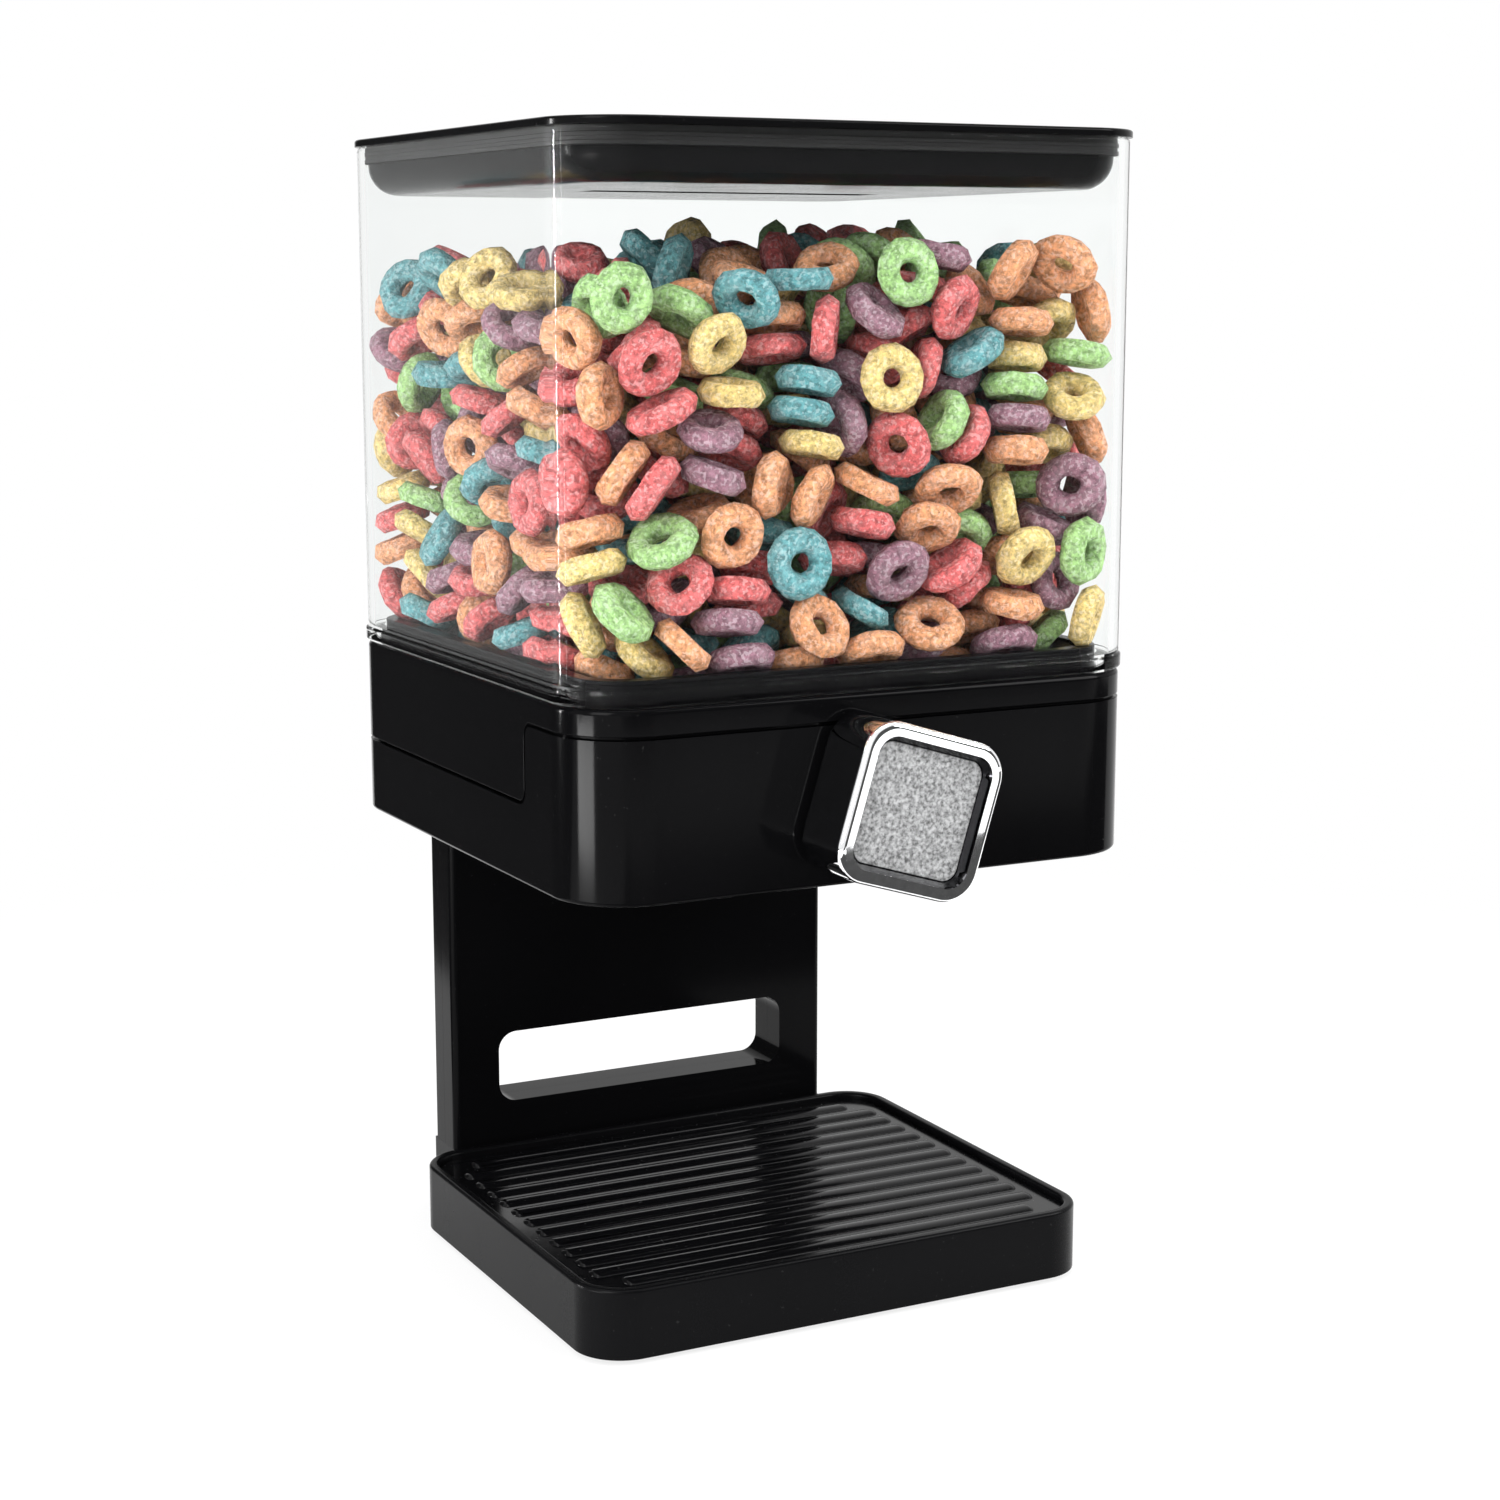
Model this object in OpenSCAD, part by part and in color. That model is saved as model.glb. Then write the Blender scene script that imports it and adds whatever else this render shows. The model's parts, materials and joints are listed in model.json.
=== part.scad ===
// Gravity bulk food bin: a clear square canister on a stand with a portion wheel.
// X is to the right, Y is to the back and Z is up. The knob is at the front, at -Y.
// The origin is the bottom centre of the outside box. Lengths are in millimetres.

/* [Canister and housing] */
// Outside width of the canister, the collar and the housing
body_w = 165; // [155:1:180]
// Outside depth of the canister, the collar and the housing
body_d = 168; // [158:1:184]
// Outside radius of the upright corners
corner_r = 20; // [17:0.5:22]
// Wall of the housing and the collar
shell_wall = 2.8; // [2.4:0.1:3.2]
// Wall of the clear canister
tank_wall = 2.6; // [2:0.1:3]
// Height of the housing from its bottom to the seam
housing_h = 41.5; // [40.5:0.5:46]
// Height of the collar above the seam
collar_h = 8; // [7.6:0.2:11]
// Height of the canister wall above the collar
tank_h = 138.9; // [90:0.1:220]
// Height of the clear foot of the canister
tank_foot_h = 4.2; // [3:0.2:6]
// Distance of the collar's deep skirt behind the front
skirt_front = 37; // [30:1:60]
// Depth of the collar's deep skirt below the seam
skirt_drop = 20; // [14:0.5:22]

/* [Lid] */
// Thickness of the lid flange
lid_flange = 2; // [1.5:0.1:3]
// Height of the sealing band under the flange
lid_band = 5.2; // [4:0.2:7]
// Radius of the rounded bowl under the band
bowl_r = 8; // [6:0.5:9]

/* [Stand] */
// Width of the base
base_w = 152; // [144:1:160]
// Distance of the base front behind the housing front
base_setback = 10.5; // [4:0.5:20]
// Corner radius of the base
base_r = 13.7; // [12:0.1:16]
// Height of the base rim
base_h = 20.4; // [18:0.1:26]
// Room between the base rim and the housing
bowl_room = 102.6; // [80:0.1:140]
// Width of the column
column_w = 124; // [116:1:124]
// Thickness of the column
column_t = 16.4; // [15:0.2:18]
// Distance of the column rear in front of the housing rear
column_inset = 8.2; // [7.6:0.2:10]
// Width of the slot in the column
slot_w = 95; // [60:1:98]
// Height of the slot in the column
slot_h = 21.4; // [12:0.2:24]
// Height of the slot above the base rim
slot_rise = 11; // [9:0.5:30]

/* [Knob and wheel] */
// Width of the square knob
knob_w = 41.5; // [36:0.5:46]
// Length of the knob
knob_len = 20; // [18:0.5:30]
// Gap between the knob and the housing
knob_gap = 2; // [2:0.1:5]
// Turn of the knob at rest, clockwise from the front
knob_turn = 17; // [0:1:45]
// Radius over the wheel blades
wheel_r = 20; // [19:0.5:21]
// Length of the portion wheel
wheel_len = 58; // [50:1:60]
// Radius of the drive shaft
shaft_r = 4; // [3.5:0.1:4.5]

/* [Fits] */
// Radial clearance of a turning or bonded round fit
run_gap = 0.05; // [0.04:0.01:0.08]
// Gap round a sliding or lift-off piece
slide_gap = 0.4; // [0.3:0.05:0.6]
// Gap between the wheel tips and the chamber
tip_gap = 0.4; // [0.3:0.1:0.6]
// Width of the shadow line at the seam
seam_gap = 1; // [0.8:0.1:1.4]

/* [Hidden] */
$fn = 96;

// levels
floor_z = base_h + bowl_room;
seam_z = floor_z + housing_h;
collar_z = seam_z + collar_h;
tank_top = collar_z + tank_h;
lid_top = tank_top + lid_flange;
floor_top = floor_z + shell_wall;
axis_z = floor_z + wheel_r + 1.5;
throat_z = axis_z + 10;
rim_z = collar_z + tank_foot_h + 0.6;

// overhang of the lid flange
lid_over = 0.7;
// the whole object is centred front to back
mid_y = (knob_gap + knob_len - lid_over) / 2;

// corner centres of the body and offsets of its inner outlines from them
cx = body_w / 2 - corner_r;
cy = body_d / 2 - corner_r;
in_x = corner_r - shell_wall;
lip_in = in_x - 1.8;
tank_in = corner_r - tank_wall;
spigot_out = in_x - slide_gap;
spigot_in = spigot_out - tank_wall;
stand_out = spigot_in - 0.6;
stand_in = stand_out - 2.4;
fun_out = stand_in - 0.3;
fun_in = fun_out - 1.4;

// deep skirt of the collar and the foot of the canister inside it
skirt_y = skirt_front - body_d / 2;
skirt_r = 3.5;
flare_r = 3;
spigot_drop = 2.6;

// base
foot_h = 1.5;
foot_r = 8;
foot_sink = 1.5;
base_front = -body_d / 2 + base_setback;
column_y = body_d / 2 - column_inset - column_t;
base_rear = column_y - 4;
base_d = base_rear - base_front;
base_mid = (base_rear + base_front) / 2;
bx = base_w / 2 - base_r;
by = base_d / 2 - base_r;
base_wall = 3;
deck_z = base_h - 3;
deck_t = 2.4;
stub_z = base_h - 2;
tray_off = base_r - base_wall - slide_gap;
rib_n = 13;
rib_w = 4.4;
rib_half = base_w / 2 - base_wall - 7.5;

// column
col_bot = stub_z;
col_top = floor_top + 16;
col_skin = 2.4;
col_plate = 4;
split_y = column_y + column_t / 2;
slot_z = base_h + slot_rise;
slot_r = 5.5;
col_x = [-48, -16, 16, 48];
boss_x = 53;

// wheel chamber
ch_r = wheel_r + tip_gap;
ch_wall = 2.2;
ch_half = wheel_len / 2 + 0.5;
ch_top = throat_z - 2;
out_x = 15;
out_y = ch_half - 2.5;
ear_x = 27;
ear_y = ch_half + ch_wall - 4.5;
bush_r = shaft_r + 1.8;
flange_r = shaft_r + 3.2;

// chute
chute_h = 8;
chute_wall = 2.2;
chute_y = out_y + chute_wall + 7.5;

// lid
plug_x = tank_in - 1.6;
bowl_z = tank_top - lid_band;
bowl_x = plug_x - bowl_r;
bowl_wall = 2.4;
dish_z = bowl_z - bowl_r + bowl_wall;
grip_half = 8;

// knob, measured along the axis towards the front
kn_r = 9;
kc = knob_w / 2 - kn_r;
kn_back = body_d / 2 + knob_gap;
kn_front = kn_back + knob_len;
kn_wall = 2;
kn_rim = 5;
face_t = 2;
face_in = 2.6;
shaft_end = kn_front - 10;
hub_r = 9;
hub_half = wheel_len / 2 - 0.4;
clip_at = ch_half + ch_wall + 4.8;

// screws
sc_r = 1.5;
sc_head = 2.8;
sc_head_h = 2;

module at_mid() {
    translate([0, mid_y, 0]) children();
}

// rounded outline with corner centres at ax, ay and the outline x outside them
module plan(ax, ay, x) {
    square([2 * (ax + x), 2 * ay], center = true);
    square([2 * ax, 2 * (ay + x)], center = true);
    for (i = [-1, 1], j = [-1, 1]) translate([i * ax, j * ay]) circle(r = x);
}

module block(ax, ay, x, z0, z1) {
    translate([0, 0, z0]) linear_extrude(height = z1 - z0) plan(ax, ay, x);
}

module band(ax, ay, x0, x1, z0, z1) {
    difference() {
        block(ax, ay, x1, z0, z1);
        block(ax, ay, x0, z0 - 1, z1 + 1);
    }
}

// a section, drawn from the corner centre outwards, taken round the outline
module sweep(ax, ay) {
    for (i = [0, 1], j = [0, 1]) mirror([i, 0, 0]) mirror([0, j, 0])
        translate([ax, ay, 0]) rotate_extrude(angle = 90) children();
    for (i = [0, 1]) mirror([i, 0, 0])
        translate([ax, ay, 0]) rotate([90, 0, 0]) linear_extrude(height = 2 * ay) children();
    for (j = [0, 1]) mirror([0, j, 0])
        rotate([0, 0, 90]) translate([ay, ax, 0]) rotate([90, 0, 0])
            linear_extrude(height = 2 * ax) children();
}

module box(x0, x1, y0, y1, z0, z1) {
    translate([x0, y0, z0]) cube([x1 - x0, y1 - y0, z1 - z0]);
}

// a screw with its head up at z = 0 and its shank down
module screw(len) {
    difference() {
        cylinder(r = sc_head, h = sc_head_h);
        translate([0, 0, sc_head_h - 1.1]) cylinder(r = 1.3, h = 2, $fn = 6);
    }
    translate([0, 0, -len]) cylinder(r = sc_r, h = len + 0.5);
}

module screw_hole(len) {
    translate([0, 0, -len]) cylinder(r = sc_r + run_gap, h = len + 1);
}

// axis frame: its z runs along the drive shaft towards the front
module on_axis() {
    translate([0, mid_y, axis_z]) rotate([90, 0, 0]) children();
}

module on_axis_turned() {
    on_axis() rotate([0, 0, -knob_turn]) children();
}

module tube(r0, r1, z0, z1) {
    translate([0, 0, z0]) difference() {
        cylinder(r = r1, h = z1 - z0);
        translate([0, 0, -1]) cylinder(r = r0, h = z1 - z0 + 2);
    }
}

// places that pieces share
module foot_pocket_at(i, y) {
    translate([i * (base_w / 2 - 20), y, 0]) children();
}

module feet_at() {
    for (i = [-1, 1], y = [base_front + 17, base_rear - 15.5])
        foot_pocket_at(i, y) children();
}

module column_screws_at() {
    for (x = col_x) translate([x, split_y + 1.2, 0]) children();
}

module cover_screws_at() {
    for (i = [-1, 1], z = [slot_z + slot_h + 12, col_top - 24]) translate([i * boss_x, 0, z])
        children();
}

module housing_screws_at() {
    for (x = col_x) translate([x, split_y - 2.2, 0]) children();
}

module chamber_screws_at() {
    for (i = [-1, 1], j = [-1, 1]) translate([i * ear_x, j * ear_y, 0]) children();
}

module chute_screws_at() {
    for (j = [-1, 1]) translate([0, j * chute_y, 0]) children();
}

module funnel_screws_at() {
    for (i = [-1, 1], j = [-1, 1]) translate([i * (cx + 1), j * (cy + 1), 0]) children();
}

module base_shell() {
    color([0.06, 0.06, 0.065]) at_mid() {
        difference() {
            union() {
                translate([0, base_mid, 0]) {
                    sweep(bx, by) base_section();
                    block(bx, by, base_r - 1, deck_z - deck_t, deck_z);
                }
                base_stub();
                feet_at() translate([0, 0, foot_h]) cylinder(r = foot_r + 2, h = deck_z - foot_h - 1);
                for (x = [-38, 0, 38]) box(x - 1, x + 1, base_front + 2, base_rear - 1,
                    deck_z - deck_t - 4, deck_z - 1);
            }
            feet_at() translate([0, 0, foot_h - 1])
                cylinder(r = foot_r + run_gap, h = foot_sink + 1);
            column_screws_at() translate([0, 0, stub_z]) screw_hole(4);
        }
    }
}

module base_section() {
    translate([base_r - base_wall, foot_h]) square([base_wall, base_h - foot_h - 1]);
    translate([base_r - base_wall + 1, foot_h]) square([base_wall - 2, base_h - foot_h]);
    for (x = [base_r - 1, base_r - base_wall + 1]) translate([x, base_h - 1]) circle(r = 1, $fn = 48);
}

module base_stub() {
    rear = column_y + column_t;
    side = column_w / 2;
    difference() {
        box(-side, side, base_rear - 2.8, rear, foot_h, stub_z);
        box(-side + 3, side - 3, column_y - 1, rear - 3, foot_h - 1, stub_z - 3);
    }
}

module one_foot(i, y) {
    color([0.1, 0.1, 0.1]) at_mid() foot_pocket_at(i, y)
        cylinder(r = foot_r, h = foot_h + foot_sink);
}

module foot_front_left() {
    one_foot(-1, base_front + 17);
}

module foot_front_right() {
    one_foot(1, base_front + 17);
}

module foot_rear_left() {
    one_foot(-1, base_rear - 15.5);
}

module foot_rear_right() {
    one_foot(1, base_rear - 15.5);
}

module rib_tray() {
    pitch = (base_d - 2 * base_wall - 8) / rib_n;
    color([0.07, 0.07, 0.075]) at_mid() translate([0, base_mid, 0]) {
        block(bx, by, tray_off, deck_z, deck_z + 1);
        for (k = [0:rib_n - 1]) {
            y = (k - (rib_n - 1) / 2) * pitch;
            h = rib_half - (abs(y) > base_d / 2 - base_r ? 5 : 0);
            translate([0, y, deck_z + 0.6]) rib(h);
        }
    }
}

// one rounded rib along X with round ends
module rib(half) {
    intersection() {
        union() {
            translate([-half, 0, 0]) rotate([0, 90, 0]) cylinder(r = rib_w / 2, h = 2 * half);
            for (i = [-1, 1]) translate([i * half, 0, 0]) sphere(r = rib_w / 2);
        }
        box(-half - 5, half + 5, -5, 5, 0, 5);
    }
}

// ---- column ----
module column_outline(y0, y1, z0, z1) {
    intersection() {
        translate([0, split_y, 0])
            block(column_w / 2 - 2, column_t / 2 - 2, 2, z0, z1);
        box(-column_w, column_w, y0, y1, z0, z1);
    }
}

// rounded slot through the column, grown by g
module slot_bar(g, y0, y1) {
    translate([0, y1, slot_z + slot_h / 2]) rotate([90, 0, 0])
        block(slot_w / 2 - slot_r, slot_h / 2 - slot_r, slot_r + g, 0, y1 - y0);
}

module cover_bosses(y0, y1, r) {
    cover_screws_at() translate([0, y1, 0]) rotate([90, 0, 0]) cylinder(r = r, h = y1 - y0);
}

module column_front() {
    back = column_y + column_t - col_skin - 0.3;
    side = column_w / 2 - col_skin;
    color([0.05, 0.05, 0.055]) at_mid() difference() {
        union() {
            difference() {
                column_outline(column_y, split_y, col_bot, col_top);
                box(-side, side, column_y + col_skin, split_y + 1,
                    col_bot + col_plate, col_top - col_plate);
            }
            box(-side + 0.3, side - 0.3, split_y - 1, back, col_bot, col_bot + col_plate);
            box(-side + 0.3, side - 0.3, split_y - 1, back, col_top - col_plate, col_top);
            slot_bar(2, column_y + 0.5, split_y);
            cover_bosses(column_y + 0.5, split_y, 3.5);
        }
        slot_bar(0, column_y - 1, split_y + 1);
        cover_bosses(column_y + 2, split_y + 1, sc_r + run_gap);
        column_screws_at() translate([0, 0, col_bot + col_plate + 1]) screw_hole(8);
        housing_screws_at() translate([0, 0, col_top + 1]) screw_hole(8);
    }
}

module column_back() {
    rear = column_y + column_t;
    side = column_w / 2 - col_skin;
    color([0.05, 0.05, 0.055]) at_mid() difference() {
        union() {
            difference() {
                column_outline(split_y, rear, col_bot, col_top);
                box(-side, side, split_y - 1, rear - col_skin, col_bot - 1, col_top + 1);
            }
            slot_bar(2, split_y, rear - 0.5);
            cover_bosses(split_y, rear - 0.5, 3.5);
        }
        slot_bar(0, split_y - 1, rear + 1);
        cover_bosses(split_y - 1, rear + 1, sc_r + run_gap);
        cover_bosses(rear - sc_head_h - 0.2, rear + 1, sc_head + run_gap);
    }
}

module column_screws() {
    color([0.6, 0.6, 0.62]) at_mid() column_screws_at() translate([0, 0, stub_z - 3])
        mirror([0, 0, 1]) screw(6.5);
}

module cover_screws() {
    color([0.6, 0.6, 0.62]) at_mid() cover_screws_at()
        translate([0, column_y + column_t - sc_head_h - 0.2, 0]) rotate([-90, 0, 0]) screw(10);
}

// ---- housing ----
// deep skirt seen from the side, grown by g, with a flare of radius fr at its top
module skirt_outline(g, fr, top) {
    front = skirt_y - g;
    bottom = seam_z - skirt_drop - g;
    round = skirt_r + g;
    long = body_d;
    translate([front, bottom + round]) square([long, top - bottom - round]);
    translate([front + round, bottom]) square([long, round + 1]);
    translate([front + round, bottom + round]) circle(r = round, $fn = 48);
    difference() {
        translate([front - fr, top - fr]) square([fr + 1, fr]);
        translate([front - fr, top - fr]) circle(r = fr, $fn = 48);
    }
    translate([skirt_y, top - 1]) square([long, 5]);
}

// a shape seen from the side, taken right through
module across() {
    translate([-body_w, 0, 0]) rotate([90, 0, 90]) linear_extrude(height = 2 * body_w) children();
}

module housing_section() {
    edge = 1.2;
    translate([in_x, floor_z + edge]) square([shell_wall, housing_h - edge]);
    translate([in_x - 1, floor_z]) square([shell_wall + 1 - edge, shell_wall]);
    translate([corner_r - edge, floor_z + edge]) circle(r = edge, $fn = 48);
}

module housing() {
    sock = slide_gap;
    back = column_y + column_t;
    color([0.05, 0.05, 0.055]) at_mid() difference() {
        union() {
            difference() {
                union() {
                    sweep(cx, cy) housing_section();
                    block(cx, cy, in_x - 0.5, floor_z, floor_top);
                }
                across() skirt_outline(seam_gap, flare_r, seam_z);
            }
            band(cx, cy, lip_in, in_x, floor_z + 14, seam_z);
            band(cx, cy, lip_in, in_x - slide_gap, seam_z - 1, seam_z + 1.6);
            box(-column_w / 2 - sock - 2.2, column_w / 2 + sock + 2.2,
                column_y - sock - 2.2, back + sock + 2.2, floor_z, col_top + 2.8);
            chamber_screws_at() translate([0, 0, floor_z + 1]) cylinder(r = 3.5, h = shell_wall + 3);
            chute_screws_at() translate([0, 0, floor_z + 1]) cylinder(r = 3.5, h = shell_wall + 3);
        }
        box(-column_w / 2 - sock, column_w / 2 + sock, column_y - sock, back + sock,
            floor_z - 1, col_top);
        box(-out_x - ch_wall - 0.3, out_x + ch_wall + 0.3, -out_y - ch_wall - 0.3,
            out_y + ch_wall + 0.3, floor_z - 1, floor_top + 1);
        housing_screws_at() translate([0, 0, col_top + 3]) screw_hole(8);
        chamber_screws_at() translate([0, 0, floor_top + 5]) screw_hole(6.5);
        chute_screws_at() translate([0, 0, floor_z + 4.5]) screw_hole(6);
        translate([0, 1 - body_d / 2, axis_z]) rotate([90, 0, 0])
            translate([0, 0, -shell_wall - 2]) cylinder(r = bush_r + run_gap, h = shell_wall + 5);
    }
}

module housing_screws() {
    color([0.6, 0.6, 0.62]) at_mid() housing_screws_at()
        translate([0, 0, col_top + 2.8]) screw(6.3);
}

// ---- wheel chamber and chute ----
module chamber_room() {
    on_room = throat_z - axis_z + 5;
    translate([0, 0, -ch_half]) cylinder(r = ch_r, h = 2 * ch_half);
    translate([-ch_r, 0, -ch_half]) cube([2 * ch_r, on_room, 2 * ch_half]);
}

module wheel_chamber() {
    r = ch_r + ch_wall;
    e = ch_half + ch_wall;
    ear_z = floor_top + 4;
    color([0.11, 0.11, 0.12]) difference() {
        union() {
            intersection() {
                on_axis() {
                    translate([0, 0, -e]) cylinder(r = r, h = 2 * e);
                    translate([-r, 0, -e]) cube([2 * r, ch_top - axis_z, 2 * e]);
                }
                at_mid() box(-body_w, body_w, -body_d, body_d, floor_top + 0.4, ch_top);
            }
            at_mid() box(-out_x - ch_wall, out_x + ch_wall, -out_y - ch_wall, out_y + ch_wall,
                floor_z, axis_z - ch_r * 0.6);
            at_mid() for (i = [0, 1], j = [0, 1]) mirror([i, 0, 0]) mirror([0, j, 0]) {
                box(ch_r * 0.78, ear_x, ear_y - 4.5, ear_y + 4.5, ear_z, ear_z + 2.4);
                translate([ear_x, ear_y, ear_z]) cylinder(r = 4.5, h = 2.4);
            }
        }
        on_axis() chamber_room();
        at_mid() box(-out_x, out_x, -out_y, out_y, floor_z - 1, axis_z);
        at_mid() chamber_screws_at() translate([0, 0, ear_z + 3]) screw_hole(5);
        on_axis() translate([0, 0, -e - 1]) cylinder(r = bush_r + run_gap, h = 2 * e + 2);
    }
}

module chamber_screws() {
    color([0.6, 0.6, 0.62]) at_mid() chamber_screws_at()
        translate([0, 0, floor_top + 6.4]) screw(7.5);
}

module chute() {
    low = floor_z - chute_h;
    color([0.06, 0.06, 0.065]) at_mid() difference() {
        union() {
            block(out_x + 3, chute_y + 1, 3, floor_z - 2.4, floor_z);
            block(out_x + chute_wall - 3, out_y + chute_wall - 3, 3, low, floor_z - 1);
        }
        block(out_x - 1.5, out_y - 1.5, 1.5, low - 1, floor_z + 1);
        chute_screws_at() translate([0, 0, floor_z + 1]) screw_hole(5);
    }
}

module chute_screws() {
    color([0.6, 0.6, 0.62]) at_mid() chute_screws_at()
        translate([0, 0, floor_z - 2.4]) mirror([0, 0, 1]) screw(7);
}

module front_bush() {
    color([0.2, 0.2, 0.21]) on_axis() {
        tube(shaft_r + run_gap, bush_r, body_d / 2 - shell_wall, body_d / 2 + 1.5);
        tube(bush_r - 0.2, flange_r, body_d / 2, body_d / 2 + 1.5);
    }
}

module chamber_bushes() {
    e = ch_half + ch_wall;
    color([0.2, 0.2, 0.21]) on_axis() for (i = [0, 1]) mirror([0, 0, i]) {
        tube(shaft_r + run_gap, bush_r, ch_half + 0.1, e + 4.2);
        tube(bush_r - 0.2, flange_r, e, e + 1.4);
    }
}

// ---- collar, canister and funnel ----
module collar_section() {
    top = collar_z;
    edge = 1.8;
    translate([in_x, seam_z]) square([shell_wall - 1.1, collar_h - edge]);
    translate([in_x, seam_z + seam_gap]) square([shell_wall, collar_h - edge - seam_gap]);
    translate([in_x, seam_z + 1]) square([shell_wall - edge, collar_h - 1]);
    translate([corner_r - edge, top - edge]) intersection() {
        circle(r = edge, $fn = 48);
        square(edge + 1);
    }
    translate([stand_in, seam_z + 2]) square([shell_wall + in_x - stand_in - 1.5, 2.4]);
    translate([stand_in, seam_z + 2]) square([stand_out - stand_in, rim_z - seam_z - 2]);
}

module collar() {
    lug_z = seam_z + 2;
    color([0.05, 0.05, 0.055]) at_mid() difference() {
        union() {
            sweep(cx, cy) collar_section();
            intersection() {
                across() skirt_outline(0, flare_r + seam_gap, seam_z + seam_gap);
                band(cx, cy, in_x + slide_gap, corner_r, seam_z - skirt_drop - 1, seam_z + 4);
            }
            for (i = [0, 1], j = [0, 1]) mirror([i, 0, 0]) mirror([0, j, 0]) intersection() {
                block(cx, cy, stand_in + 0.5, lug_z, lug_z + 2.4);
                box(cx - 6, cx + 30, cy - 6, cy + 30, lug_z - 1, lug_z + 5);
            }
        }
        funnel_screws_at() translate([0, 0, lug_z + 5]) screw_hole(6);
    }
}

module tank_section() {
    translate([tank_in, collar_z + 1]) square([tank_wall, tank_h - 2]);
    translate([tank_in + 0.6, collar_z + 1]) square([tank_wall - 1.2, tank_h - 1]);
    for (x = [tank_in + 0.6, corner_r - 0.6]) translate([x, tank_top - 1]) circle(r = 0.6, $fn = 32);
    translate([spigot_in, collar_z]) square([corner_r - spigot_in, tank_foot_h]);
    translate([corner_r - 0.4, collar_z + 1]) circle(r = 1, $fn = 32);
    translate([corner_r - 0.4, collar_z + tank_foot_h - 1]) circle(r = 1, $fn = 32);
    translate([corner_r - 0.4, collar_z + 1]) square([1, tank_foot_h - 2]);
    translate([spigot_in, collar_z - spigot_drop]) square([spigot_out - spigot_in, 4]);
}

module hopper_tank() {
    color([0.85, 0.9, 0.92, 0.35]) at_mid() sweep(cx, cy) tank_section();
}

module hopper_seal() {
    color([0.3, 0.3, 0.3]) at_mid()
        band(cx, cy, stand_out + 0.3, in_x - 0.3, seam_z + 4.4, collar_z - spigot_drop);
}

// four flat slopes down to the throat, lowered by dz
module slopes(dz) {
    intersection() {
        slope_prism(ch_r, cx + fun_in, body_d, dz);
        rotate([0, 0, 90]) slope_prism(ch_half, cy + fun_in, body_w, dz);
    }
}

module slope_prism(half_low, half_top, span, dz) {
    rotate([90, 0, 0]) translate([0, 0, -span]) linear_extrude(height = 2 * span) polygon([
        [-half_low, throat_z + 1 - dz], [half_low, throat_z + 1 - dz],
        [half_top, rim_z - dz], [half_top, rim_z + 4],
        [-half_top, rim_z + 4], [-half_top, rim_z - dz]]);
}

module funnel() {
    lug_top = seam_z + 4.4;
    color([0.1, 0.1, 0.11]) at_mid() difference() {
        union() {
            intersection() {
                slopes(2.6);
                block(cx, cy, fun_out, throat_z, rim_z);
            }
            box(-ch_r - 2, ch_r + 2, -ch_half - 2, ch_half + 2, throat_z, throat_z + 3.5);
            band(cx, cy, fun_in - 0.5, fun_out, rim_z - 6, rim_z);
            band(cx, cy, fun_in - 0.5, stand_out, rim_z, rim_z + 1.2);
            funnel_screws_at() translate([0, 0, lug_top]) cylinder(r = 3.5, h = rim_z - lug_top - 4);
        }
        intersection() {
            slopes(0);
            block(cx, cy, fun_in, throat_z, rim_z + 3);
        }
        box(-ch_r, ch_r, -ch_half, ch_half, throat_z - 1, throat_z + 6);
        funnel_screws_at() translate([0, 0, lug_top + 2]) screw_hole(5);
    }
}

module funnel_screws() {
    color([0.6, 0.6, 0.62]) at_mid() funnel_screws_at()
        translate([0, 0, seam_z + 2]) mirror([0, 0, 1]) screw(4.8);
}

module throat_seal() {
    color([0.3, 0.3, 0.3]) at_mid() difference() {
        box(-ch_r - 2, ch_r + 2, -ch_half - 2, ch_half + 2, ch_top, throat_z);
        box(-ch_r - 0.2, ch_r + 0.2, -ch_half - 0.2, ch_half + 0.2, ch_top - 1, throat_z + 1);
    }
}

// ---- lid ----
module lid_section() {
    wall_x = plug_x - bowl_wall;
    rim_in = wall_x - 1.4;
    translate([rim_in, tank_top]) square([corner_r + lid_over - 0.8 - rim_in, lid_flange]);
    translate([rim_in, tank_top]) square([corner_r + lid_over - rim_in, lid_flange - 0.8]);
    translate([corner_r + lid_over - 0.8, lid_top - 0.8]) circle(r = 0.8, $fn = 32);
    translate([wall_x, bowl_z]) square([bowl_wall, lid_band + 0.5]);
    intersection() {
        difference() {
            translate([bowl_x, bowl_z]) circle(r = bowl_r);
            translate([bowl_x, bowl_z]) circle(r = bowl_r - bowl_wall);
        }
        translate([bowl_x, bowl_z - bowl_r - 1]) square([bowl_r + 2, bowl_r + 1]);
    }
    translate([bowl_x - 4, bowl_z - bowl_r]) square([4, bowl_wall]);
}

module lid_cap() {
    color([0.05, 0.05, 0.055]) at_mid() {
        sweep(cx, cy) lid_section();
        difference() {
            union() {
                block(cx, cy, bowl_x - 3, bowl_z - bowl_r, dish_z);
                block(cx - 20, grip_half - 3, 3, bowl_z - bowl_r, lid_top - 1.5);
            }
            block(cx - 20, grip_half - 3, 0.8, bowl_z - bowl_r - 1, lid_top - 3.7);
        }
    }
}

module lid_seal() {
    color([0.09, 0.09, 0.09]) at_mid() {
        band(cx, cy, plug_x + run_gap, tank_in - 0.6, bowl_z + 0.6, tank_top);
        for (z = [bowl_z + 0.6, bowl_z + 2.6]) band(cx, cy, plug_x + 0.3, tank_in - 0.3, z, z + 1);
    }
}

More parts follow.
